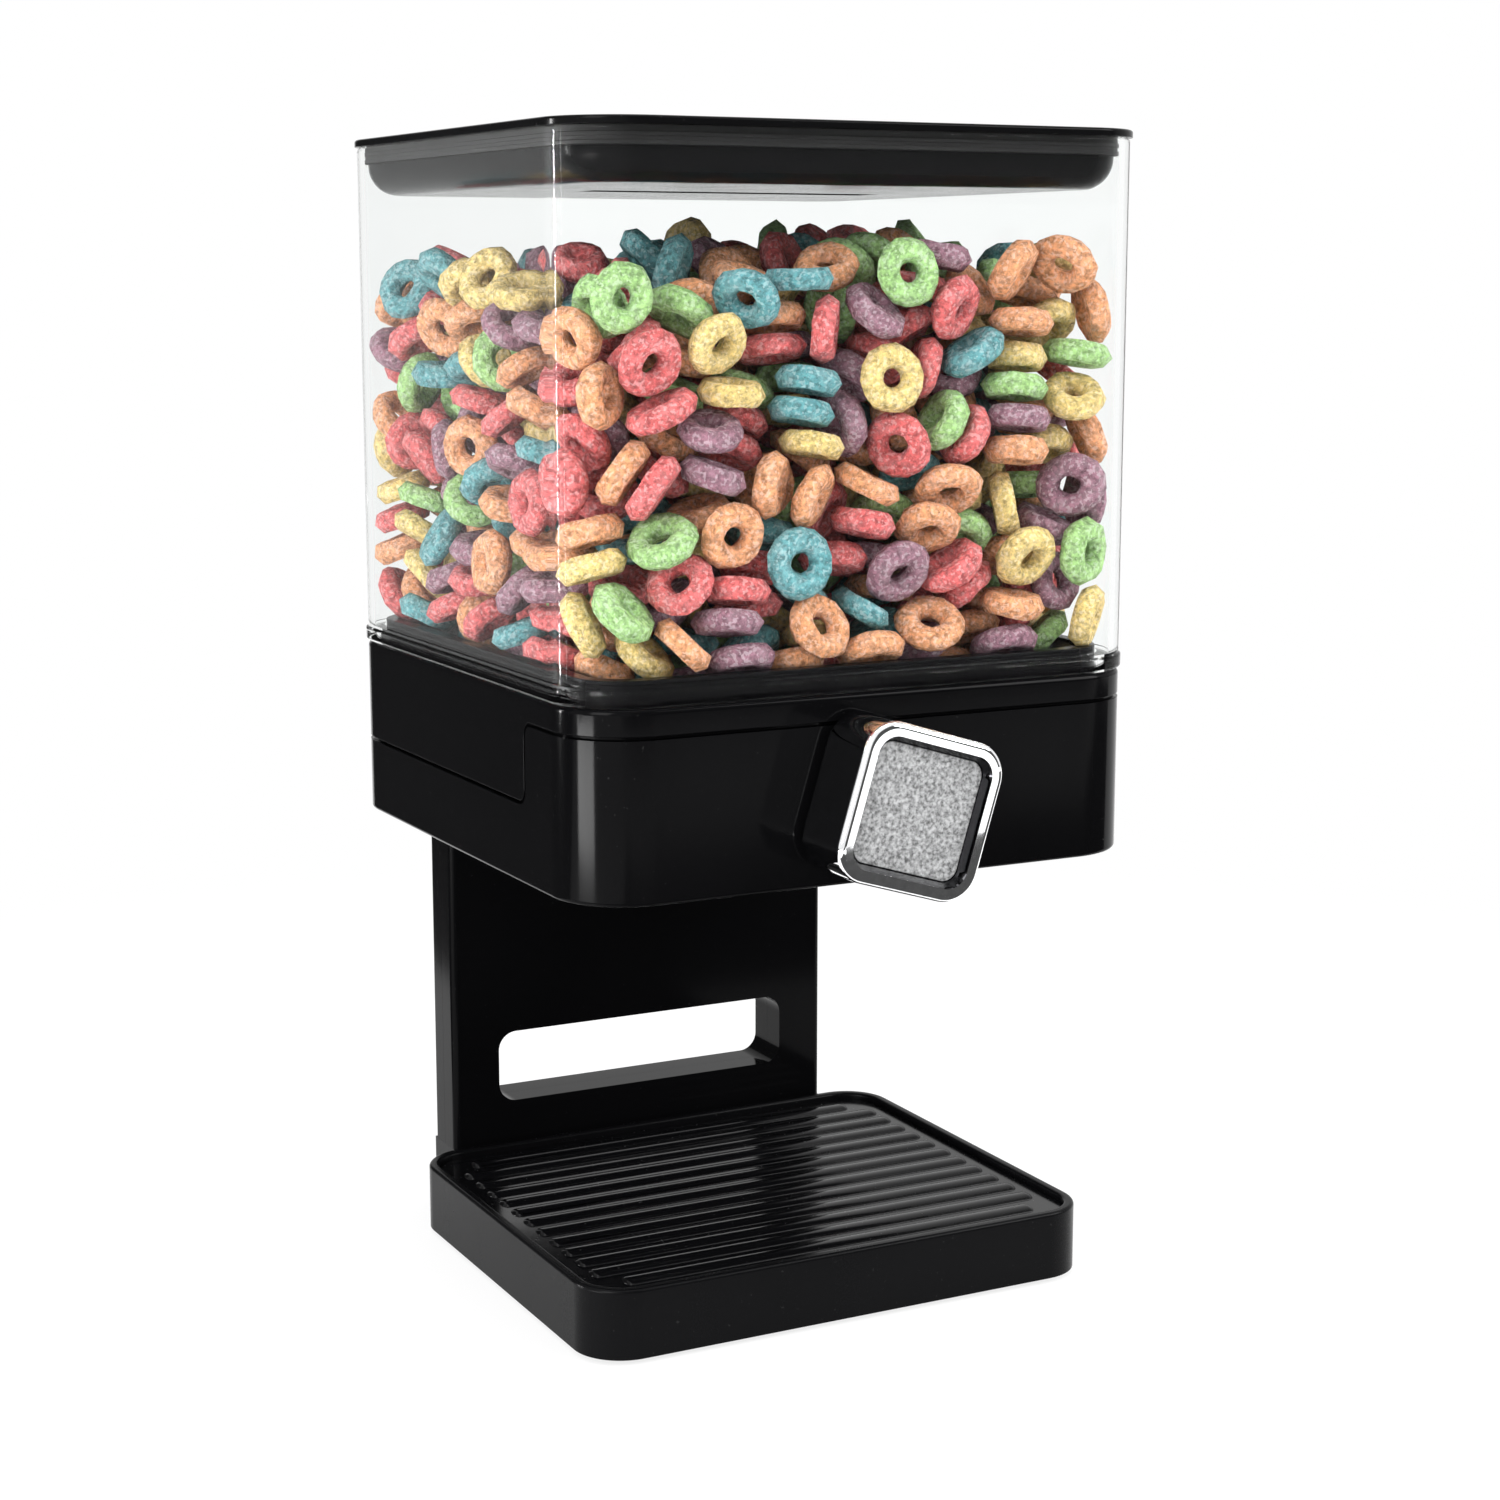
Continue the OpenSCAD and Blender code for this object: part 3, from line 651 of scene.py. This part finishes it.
@dataclass
class Tray(Assembly):
    """Ribbed tray: a thin plate with a row of round ribs."""

    body: str = "tray"
    ribs: int = 13
    rib_radius: float = 0.0022
    plate_t: float = 0.001
    end_share: float = 0.92
    rib_wide: float = 1.5
    rib_low: float = 0.62
    side_clear: float = 0.0041
    end_clear: float = 0.0072
    sink: float = 0.0006
    cut_lift: float = 0.0002
    corner_r: float = 0.0103

    def tree(self) -> Steps:
        """The Geometry Nodes tree of one round rib, repeated over the points."""
        steps = Steps("rib_row", {
            "Half length": ("NodeSocketFloat", 0.06), "Rib radius": ("NodeSocketFloat", 0.002),
            "Material": ("NodeSocketMaterial", None)})
        half, radius = steps.given["Half length"], steps.given["Rib radius"]
        bar = steps.node("GeometryNodeMeshCylinder", {"fill_type": "NONE"}, {
            "Vertices": 24, "Side Segments": 6, "Radius": radius, "Depth": half * 2.0})[0]
        ball = steps.node("GeometryNodeMeshUVSphere", {}, {
            "Segments": 24, "Rings": 12, "Radius": radius})[0]
        ends = []
        for sign in (-1.0, 1.0):
            shift = steps.node("ShaderNodeCombineXYZ", {}, {"Z": half * sign})[0]
            ends.append(steps.node("GeometryNodeTransform", {}, {
                "Geometry": ball, "Translation": shift})[0])
        join = steps.node("GeometryNodeJoinGeometry")
        for part in (bar, *ends):
            steps.tree.links.new(part.socket, join.node.inputs[0])
        lying = steps.node("GeometryNodeTransform", {}, {
            "Geometry": join[0], "Rotation": (0.0, math.pi / 2, 0.0)})[0]
        smooth = steps.node("GeometryNodeSetShadeSmooth", {}, {"Geometry": lying})[0]
        steps.finish(steps.repeat(smooth))
        return steps

    def build(self) -> None:
        """Builds the ribs and the plate as one piece."""
        low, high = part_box("rib_tray")
        deck = low.z
        depth = (high.y - low.y)
        middle = (high.y + low.y) / 2
        half = (high.x - low.x) / 2 - self.side_clear - self.rib_radius
        pitch = (depth - self.end_clear) / self.ribs
        rows = np.array([(0.0, middle + (k - (self.ribs - 1) / 2) * pitch, deck + self.sink)
                         for k in range(self.ribs)])
        sizes = np.ones((self.ribs, 3)) * np.array((1.0, self.rib_wide, self.rib_low))
        sizes[0, 0] = sizes[-1, 0] = self.end_share
        ribs = self.tree().grow("tray_ribs", rows, np.zeros((self.ribs, 3)), sizes, {
            "Half length": half, "Rib radius": self.rib_radius,
            "Material": self.finishes.tray_black})
        shape = bmesh.new()
        shape.from_mesh(ribs.data)
        plane = [v for v in shape.verts] + [e for e in shape.edges] + [f for f in shape.faces]
        bmesh.ops.bisect_plane(shape, geom=plane, plane_co=(0, 0, deck + self.cut_lift),
                               plane_no=(0, 0, -1), clear_outer=True)
        bmesh.ops.holes_fill(shape, edges=[e for e in shape.edges if e.is_boundary], sides=0)
        self.plate(shape, low, high, deck)
        shape.to_mesh(ribs.data)
        shape.free()
        reorient(ribs.data)
        ribs.data.shade_smooth()
        ribs.data.set_sharp_from_angle(angle=math.radians(40))
        self.add(ribs, Slot.BLACK, self.finishes.tray_black, ("rib_tray",))

    def plate(self, shape: bmesh.types.BMesh, low: Vector, high: Vector, deck: float) -> None:
        """Adds the rounded plate under the ribs.

        Args:
            shape: the mesh to add to.
            low: lowest corner of the tray.
            high: highest corner of the tray.
            deck: height of the plate's underside.
        """
        radius, ring = self.corner_r, []
        for cx, cy, start in ((1, 1, 0), (-1, 1, 90), (-1, -1, 180), (1, -1, 270)):
            x = (high.x if cx > 0 else low.x) - cx * radius
            y = (high.y if cy > 0 else low.y) - cy * radius
            for k in range(9):
                a = math.radians(start + 90 * k / 8)
                ring.append((x + radius * math.cos(a), y + radius * math.sin(a)))
        under = [shape.verts.new((x, y, deck)) for x, y in ring]
        upper = [shape.verts.new((x, y, deck + self.plate_t)) for x, y in ring]
        shape.faces.new(list(reversed(under)))
        shape.faces.new(upper)
        for k in range(len(ring)):
            n = (k + 1) % len(ring)
            shape.faces.new((under[k], under[n], upper[n], upper[k]))


@dataclass
class Hopper(Assembly):
    """Collar, clear canister and funnel."""

    body: str = "hopper"

    def build(self) -> None:
        """Builds and dresses the hopper."""
        self.polish("collar", Slot.BLACK, 0.00025)
        tank = self.polish("hopper_tank", Slot.CLEAR, 0.0)
        tank.visible_shadow = False
        tank.visible_diffuse = False
        self.polish("hopper_seal", Slot.SEAL, 0.0)
        self.polish("funnel", Slot.GREY, 0.0003, self.finishes.satin_black)
        self.polish("funnel_screws", Slot.SCREW, 0.0002)


@dataclass
class Lid(Assembly):
    """Lid with its sealing band and rounded bowl."""

    body: str = "lid"

    def build(self) -> None:
        """Builds and dresses the lid."""
        self.polish("lid_cap", Slot.BLACK, 0.0003, self.finishes.lid_black)
        self.polish("lid_seal", Slot.SEAL, 0.0002)


@dataclass
class Knob(Assembly):
    """Square knob with its shaft and portion wheel."""

    body: str = "knob"
    recess: float = 0.0031

    def paint_recess_reflection(self, shell: bpy.types.Object) -> None:
        """Paints a dark reflection onto the wall round the panel: near-black chrome stands in for
        the dark surroundings that plain chrome would reflect there.

        Args:
            shell: the knob's shell.
        """
        shell.data.materials.append(self.finishes.painted_reflection_chrome)
        low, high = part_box("drive_shaft")
        axis = (low.z + high.z) / 2
        front = min(v.co.y for v in shell.data.vertices)
        for face in shell.data.polygons:
            spot = face.center
            out = Vector((spot.x, 0.0, spot.z - axis)).normalized()
            # Faces of the recess wall get the chrome with the painted dark reflection.
            if spot.y < front + self.recess and face.normal.dot(out) < -0.5:
                face.material_index = 1

    def build(self) -> None:
        """Builds and dresses the knob and the wheel."""
        self.paint_recess_reflection(self.polish("knob_shell", Slot.CHROME, 0.0004))
        self.polish("knob_face", Slot.SATIN, 0.0002)
        self.polish("knob_core", Slot.GREY, 0.0003)
        self.polish("wheel_hub", Slot.GREY, 0.0003)
        self.polish("wheel_blades", Slot.BLADE, 0.0002)
        self.polish("drive_shaft", Slot.SHAFT, 0.0002)
        self.polish("knob_screw", Slot.SCREW, 0.0002)
        self.polish("hub_pin", Slot.SCREW, 0.0001)
        self.polish("shaft_clip", Slot.SCREW, 0.0001)


# -------------------------------------------------------------------- contents
class Tint(Enum):
    """Colours of the dry food, with the share of each."""

    ROSE = ((0.84, 0.17, 0.17), 0.21)
    ORANGE = ((0.93, 0.42, 0.20), 0.23)
    YELLOW = ((0.94, 0.70, 0.26), 0.18)
    GREEN = ((0.42, 0.70, 0.26), 0.14)
    TEAL = ((0.15, 0.42, 0.45), 0.11)
    PLUM = ((0.38, 0.19, 0.25), 0.13)


@dataclass
class Filling:
    """Lets rings fall into the canister and gives their places.

    Lengths are in metres. The fall is worked out grow times as large, and the fields from
    slab_t on are lengths in the fall.
    """

    middle: float
    count: int = 965
    seed: int = 11
    frames: int = 50
    half_x: float = 0.0796
    half_y: float = 0.0811
    corner: float = 0.0171
    rim_z: float = 0.1774
    throat_z: float = 0.1556
    axis_z: float = 0.1445
    wheel_r: float = 0.0205
    throat_x: float = 0.0204
    throat_y: float = 0.0295
    grow: float = 100.0
    ring_r: float = 0.0058
    crust_r: float = 0.0033
    swell: float = 1.22
    funnel_x: float = 0.0720
    funnel_y: float = 0.0735
    quick_frames: int = 12
    slab_t: float = 6.0
    slab_w: float = 120.0
    pull: float = 110.0
    row: int = 7
    reach: float = 6.3
    stagger: float = 0.35
    jitter: float = 0.2
    first_layer: float = 19.5
    layer_step: float = 2.05

    def slab(self, group: Any, point: Vector, inward: Vector) -> None:
        """Adds a fixed thick slab.

        Args:
            group: collection of the fall.
            point: a point on its inner face.
            inward: the direction into the canister.
        """
        thick, wide = self.slab_t, self.slab_w
        corners = [Vector((x, y, z)) for x in (-wide, wide) for y in (-wide, wide)
                   for z in (-thick, 0.0)]
        turn = inward.to_track_quat("Z", "Y").to_matrix()
        faces = [(0, 1, 3, 2), (4, 6, 7, 5), (0, 4, 5, 1), (2, 3, 7, 6), (0, 2, 6, 4), (1, 5, 7, 3)]
        mesh = bpy.data.meshes.new("slab")
        centre = Vector((0, 0, -thick / 2))
        mesh.from_pydata([tuple(c - centre) for c in corners], [], faces)
        obj = bpy.data.objects.new("slab", mesh)
        place = point * self.grow + turn @ centre
        obj.matrix_world = Matrix.Translation(place) @ turn.to_4x4()
        self.join(group, obj, "PASSIVE", "BOX")

    def join(self, group: Any, obj: bpy.types.Object, kind: str, shape: str) -> None:
        """Adds an object to the fall.

        Args:
            group: collection of the fall.
            obj: the object.
            kind: ACTIVE or PASSIVE.
            shape: its collision shape.
        """
        bpy.context.scene.collection.objects.link(obj)
        group.objects.link(obj)
        part = obj.rigid_body
        part.type = kind
        part.collision_shape = shape
        part.friction, part.restitution = 0.9, 0.05
        part.use_margin, part.collision_margin = True, 0.02
        part.linear_damping, part.angular_damping = 0.10, 0.85

    def walls(self, group: Any) -> None:
        """Adds the canister's walls, its corners, the funnel and the wheel."""
        mid = Vector((0.0, self.middle, 0.0))
        for sign in (-1.0, 1.0):
            self.slab(group, mid + Vector((sign * self.half_x, 0, 0.2)), Vector((-sign, 0, 0)))
            self.slab(group, mid + Vector((0, sign * self.half_y, 0.2)), Vector((0, -sign, 0)))
        for sx in (-1.0, 1.0):
            for sy in (-1.0, 1.0):
                hub = mid + Vector((sx * (self.half_x - self.corner),
                                    sy * (self.half_y - self.corner), 0.2))
                for angle in (22.5, 45.0, 67.5):
                    out = Vector((sx * math.cos(math.radians(angle)),
                                  sy * math.sin(math.radians(angle)), 0))
                    self.slab(group, hub + out * self.corner, -out)
        rise = self.rim_z - self.throat_z
        for sign in (-1.0, 1.0):
            run = self.funnel_x - self.throat_x
            self.slab(group, mid + Vector((sign * self.throat_x, 0, self.throat_z)),
                      Vector((-sign * rise, 0, run)).normalized())
            run = self.funnel_y - self.throat_y
            self.slab(group, mid + Vector((0, sign * self.throat_y, self.throat_z)),
                      Vector((0, -sign * rise, run)).normalized())
        mesh = bpy.data.meshes.new("roller")
        shape = bmesh.new()
        bmesh.ops.create_cone(shape, cap_ends=True, segments=32, radius1=self.wheel_r * self.grow,
                              radius2=self.wheel_r * self.grow, depth=6.0)
        shape.to_mesh(mesh)
        shape.free()
        roller = bpy.data.objects.new("roller", mesh)
        roller.matrix_world = (Matrix.Translation(Vector((0, self.middle, self.axis_z)) * self.grow)
                               @ Matrix.Rotation(math.pi / 2, 4, "X"))
        self.join(group, roller, "PASSIVE", "CONVEX_HULL")

    def hull(self) -> bpy.types.Mesh:
        """The disc that a ring falls as."""
        shape = bmesh.new()
        for share in (0.12, 0.45, 0.82):
            a = share * math.pi / 2
            radius = self.ring_r + self.crust_r * math.cos(a)
            height = self.crust_r * self.swell * math.sin(a)
            for side in (-1, 1):
                for k in range(12):
                    a = math.tau * k / 12
                    shape.verts.new(Vector((radius * math.cos(a), radius * math.sin(a),
                                            side * height)) * self.grow)
        bmesh.ops.convex_hull(shape, input=shape.verts)
        mesh = bpy.data.meshes.new("disc")
        shape.to_mesh(mesh)
        shape.free()
        return mesh

    def settle(self) -> list[Matrix]:
        """Runs the fall.

        Returns:
            The place of each ring at rest, in metres.
        """
        scene = bpy.context.scene
        scene.gravity = (0.0, 0.0, -self.pull)
        bpy.ops.rigidbody.world_add()
        world = scene.rigidbody_world
        group = bpy.data.collections.new("fall")
        world.collection = group
        world.substeps_per_frame, world.solver_iterations = 6, 7
        world.point_cache.frame_start, world.point_cache.frame_end = 1, self.frames + 1
        self.walls(group)
        random = np.random.default_rng(self.seed)
        disc, rings = self.hull(), []
        side = np.linspace(-self.reach, self.reach, self.row)
        for k in range(self.count):
            layer, cell = divmod(k, self.row ** 2)
            x, y = side[cell % self.row], side[cell // self.row]
            jitter = random.uniform(-self.jitter, self.jitter, 3)
            spin = random.uniform(0.0, math.tau, 3)
            obj = bpy.data.objects.new("disc", disc)
            shift = self.stagger if layer % 2 else -self.stagger
            place = Vector((x + shift + jitter[0], y - shift + self.middle * self.grow + jitter[1],
                            self.first_layer + self.layer_step * layer + jitter[2]))
            obj.rotation_euler = tuple(spin)
            obj.location = place
            obj.scale = tuple(random.uniform(0.93, 1.07, 3))
            self.join(group, obj, "ACTIVE", "CONVEX_HULL")
            rings.append(obj)
        for number in range(1, self.frames + 1):
            scene.frame_set(number)
        graph = bpy.context.evaluated_depsgraph_get()
        found = [obj.evaluated_get(graph).matrix_world.copy() for obj in rings]
        bpy.ops.rigidbody.world_remove()
        for obj in list(group.objects):
            bpy.data.objects.remove(obj)
        bpy.data.collections.remove(group)
        scene.frame_set(1)
        places = []
        for matrix in found:
            spot, turn, size = matrix.decompose()
            places.append(Matrix.LocRotScale(spot / self.grow, turn, size))
        return places


@dataclass
class Contents(Assembly):
    """Loose rings of dry food in the canister."""

    body: str = "hopper"
    top: float = 0.2962
    form: float = 0.0008
    waves: float = 300.0
    pattern: float = 3.0
    shown: float = 0.985

    def tree(self) -> Steps:
        """The Geometry Nodes tree of one ring, repeated over the points."""
        steps = Steps("ring_heap", {
            "Ring radius": ("NodeSocketFloat", 0.0064), "Crust radius": ("NodeSocketFloat", 0.003),
            "Relief": ("NodeSocketFloat", 0.0005), "Material": ("NodeSocketMaterial", None)})
        path = steps.node("GeometryNodeCurvePrimitiveCircle", {"mode": "RADIUS"}, {
            "Resolution": 14, "Radius": steps.given["Ring radius"]})[0]
        section = steps.node("GeometryNodeCurvePrimitiveCircle", {"mode": "RADIUS"}, {
            "Resolution": 6, "Radius": steps.given["Crust radius"]})[0]
        ring = steps.node("GeometryNodeCurveToMesh", {}, {
            "Curve": path, "Profile Curve": section})[0]
        smooth = steps.node("GeometryNodeSetShadeSmooth", {}, {"Geometry": ring})[0]
        heap = steps.roughened(steps.repeat(smooth), steps.given["Relief"], self.waves,
                               self.pattern)
        steps.finish(heap)
        return steps

    def build(self) -> None:
        """Lets the rings fall, then makes one piece of each colour."""
        low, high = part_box("hopper_tank")
        filling = Filling(middle=(low.y + high.y) / 2)
        places = filling.settle()
        heights = np.array([m.translation.z for m in places])
        log.info("rings: %d, top at %.4f m, lowest %.4f m", len(places),
                 float(np.sort(heights)[-20:].mean()), float(heights.min()))
        random = np.random.default_rng(filling.seed + 1)
        shares = np.array([tint.value[1] for tint in Tint])
        picks = random.choice(len(Tint), len(places), p=shares / shares.sum())
        steps = self.tree()
        for number, tint in enumerate(Tint):
            own = [m for m, pick in zip(places, picks) if pick == number
                   and m.translation.z < self.top - filling.ring_r
                   and abs(m.translation.x) < filling.half_x]
            spots = np.array([m.translation[:] for m in own])
            turns = np.array([m.to_euler()[:] for m in own])
            sizes = np.array([m.to_scale()[:] for m in own]) * self.shown
            material = Crust("crust_" + tint.name.lower(), tint.value[0]).build()
            rings = steps.grow("rings_" + tint.name.lower(), spots, turns, sizes, {
                "Ring radius": filling.ring_r, "Crust radius": filling.crust_r,
                "Relief": self.form, "Material": material})
            rings.data.materials.clear()
            rings.data.materials.append(material)
            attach(rings, self.body)
            self.made.append(rings.name)


# --------------------------------------------------------------------- studio
@dataclass
class Studio:
    """Floor, lamps, dark cards and camera."""

    lens: float = 65.9
    place: tuple[float, float, float] = (-0.3460, -0.66965, 0.2772)
    yaw: float = 27.38
    pitch: float = 9.89

    def build(self) -> None:
        """Builds everything round the object."""
        scene = bpy.context.scene
        scene.view_settings.view_transform = "Standard"
        self.world(scene)
        self.floor()
        self.lamp("lamp_right", (1.5, -1.3, 1.3), 1.1, 1.1, 40.0)
        self.lamp("lamp_left", (-1.5, -0.9, 1.1), 0.9, 1.3, 30.0)
        self.lamp("lamp_top", (0.1, 0.1, 1.9), 1.4, 1.4, 20.0)
        self.lamp("strip_left", (-0.68, -0.16, 0.036), 0.28, 0.066, 2.2)
        line = self.lamp("line_left", (-1.045, 0.657, 0.20), 0.04, 0.60, 14.0)
        line.visible_diffuse = False
        self.card("card_back", [(-3.2, 1.2, -0.2), (-0.1, 3.0, -0.2), (-0.1, 3.0, 2.6),
                                (-3.2, 1.2, 2.6)])
        self.card("card_front", [(-0.6, -2.6, -0.2), (3.2, -1.4, -0.2), (3.2, -1.4, 2.6),
                                 (-0.6, -2.6, 2.6)])
        self.card("card_near", self.lying(-0.30, 1.2, -0.66, -0.12))
        self.card("card_far", self.lying(-0.6, 3.2, -2.6, -1.02))
        self.card("card_beside", self.lying(-3.2, -0.16, 0.12, 2.6))
        self.camera(scene)

    def world(self, scene: bpy.types.Scene) -> None:
        """White to the camera, glass and metal, and softer as a light."""
        sky = bpy.data.worlds.new("studio_white")
        scene.world = sky
        sky.use_nodes = True
        graph = Graph(sky.node_tree)
        rays = graph.node("ShaderNodeLightPath")
        seen = rays["Is Camera Ray"] + rays["Is Glossy Ray"] + rays["Is Transmission Ray"]
        share = graph.node("ShaderNodeMath", {"operation": "MINIMUM"}, {0: seen, 1: 1.0})[0]
        light = graph.node("ShaderNodeBackground", {}, {
            "Color": (1.0, 1.0, 1.0), "Strength": 0.94 + share * 0.06})
        graph.node("ShaderNodeOutputWorld", {}, {"Surface": light[0]})

    def floor(self) -> None:
        """A wide pale floor that keeps a soft shadow."""
        mesh = bpy.data.meshes.new("floor")
        wide = 9.0
        mesh.from_pydata([(-wide, -wide, 0), (wide, -wide, 0), (wide, wide, 0), (-wide, wide, 0)],
                         [], [(0, 1, 2, 3)])
        obj = bpy.data.objects.new("floor", mesh)
        bpy.context.scene.collection.objects.link(obj)
        shade = Shade("pale_floor")
        rays = shade.node("ShaderNodeLightPath")
        grain = shade.noise(40.0, 4.0)
        colour = shade.blend(grain, (0.86, 0.86, 0.86), (0.90, 0.90, 0.90))
        matt = shade.node("ShaderNodeBsdfPrincipled", {}, {
            "Base Color": colour, "Roughness": 0.8, "Specular IOR Level": 0.1})
        glow = shade.node("ShaderNodeEmission", {}, {"Color": (1.0, 1.0, 1.0), "Strength": 1.0})
        reach = shade.node("ShaderNodeVectorMath", {"operation": "LENGTH"}, {0: shade.place})
        far = shade.node("ShaderNodeMapRange", {"interpolation_type": "SMOOTHSTEP"}, {
            "Value": reach["Value"], "From Min": 0.16, "From Max": 0.55,
            "To Min": 0.80, "To Max": 1.0})[0]
        seen = (rays["Is Camera Ray"] + rays["Is Transmission Ray"]) * far
        both = shade.node("ShaderNodeMixShader", {}, {
            0: seen + rays["Is Glossy Ray"] * 0.3, 1: matt["BSDF"], 2: glow[0]})
        shade.node("ShaderNodeOutputMaterial", {}, {"Surface": both[0]})
        mesh.materials.append(shade.material)

    @staticmethod
    def lying(west: float, east: float, south: float, north: float) -> list[Sequence[float]]:
        """Corners of a card that lies just above the floor."""
        lift = 0.0012
        return [(west, south, lift), (east, south, lift), (east, north, lift),
                (west, north, lift)]

    def card(self, name: str, corners: Sequence[Sequence[float]]) -> None:
        """A dark card that only reflections see.

        Args:
            name: name of the card.
            corners: its four corners.
        """
        mesh = bpy.data.meshes.new(name)
        mesh.from_pydata([tuple(c) for c in corners], [], [(0, 1, 2, 3)])
        obj = bpy.data.objects.new(name, mesh)
        bpy.context.scene.collection.objects.link(obj)
        shade = Shade("dark_" + name)
        fibre = shade.noise(400.0, 3.0)
        mesh.materials.append(shade.surface(
            Base_Color=(0.0, 0.0, 0.0), Roughness=0.95, Specular_IOR_Level=0.0,
            Emission_Color=shade.blend(fibre, (0.07, 0.07, 0.07), (0.10, 0.10, 0.10)),
            Emission_Strength=1.0))
        obj.visible_camera = False
        obj.visible_diffuse = False
        obj.visible_transmission = False
        obj.visible_shadow = False

    def lamp(self, name: str, place: tuple[float, float, float], wide: float, high: float,
             power: float) -> bpy.types.Object:
        """A soft rectangular lamp that faces the object.

        Args:
            name: name of the lamp.
            place: its place.
            wide: its width.
            high: its height.
            power: its power in watts.

        Returns:
            The lamp.
        """
        data = bpy.data.lights.new(name, "AREA")
        data.shape, data.size, data.size_y, data.energy = "RECTANGLE", wide, high, power
        obj = bpy.data.objects.new(name, data)
        obj.location = place
        aim = Vector((0.0, 0.0, 0.17)) - Vector(place)
        obj.rotation_mode = "QUATERNION"
        obj.rotation_quaternion = aim.to_track_quat("-Z", "Y")
        obj.visible_camera = False
        bpy.context.scene.collection.objects.link(obj)
        return obj

    def camera(self, scene: bpy.types.Scene) -> None:
        """The camera at the photograph's angle."""
        data = bpy.data.cameras.new("camera")
        data.lens, data.sensor_width = self.lens, 36.0
        obj = bpy.data.objects.new("camera", data)
        yaw, pitch = math.radians(self.yaw), math.radians(self.pitch)
        aim = Vector((math.sin(yaw) * math.cos(pitch), math.cos(yaw) * math.cos(pitch),
                      -math.sin(pitch)))
        obj.rotation_mode = "QUATERNION"
        obj.rotation_quaternion = aim.to_track_quat("-Z", "Y")
        obj.location = self.place
        scene.collection.objects.link(obj)
        scene.camera = obj


def main() -> None:
    """Builds the assemblies in order, then the studio."""
    logging.basicConfig(level=logging.INFO, format="%(name)s %(message)s")
    finishes = Finishes()
    for kind in (Stand, Tray, Hopper, Lid, Knob, Contents):
        part = kind(finishes)
        part.build()
        part.report()
    Studio().build()


if __name__ == "__main__":
    main()
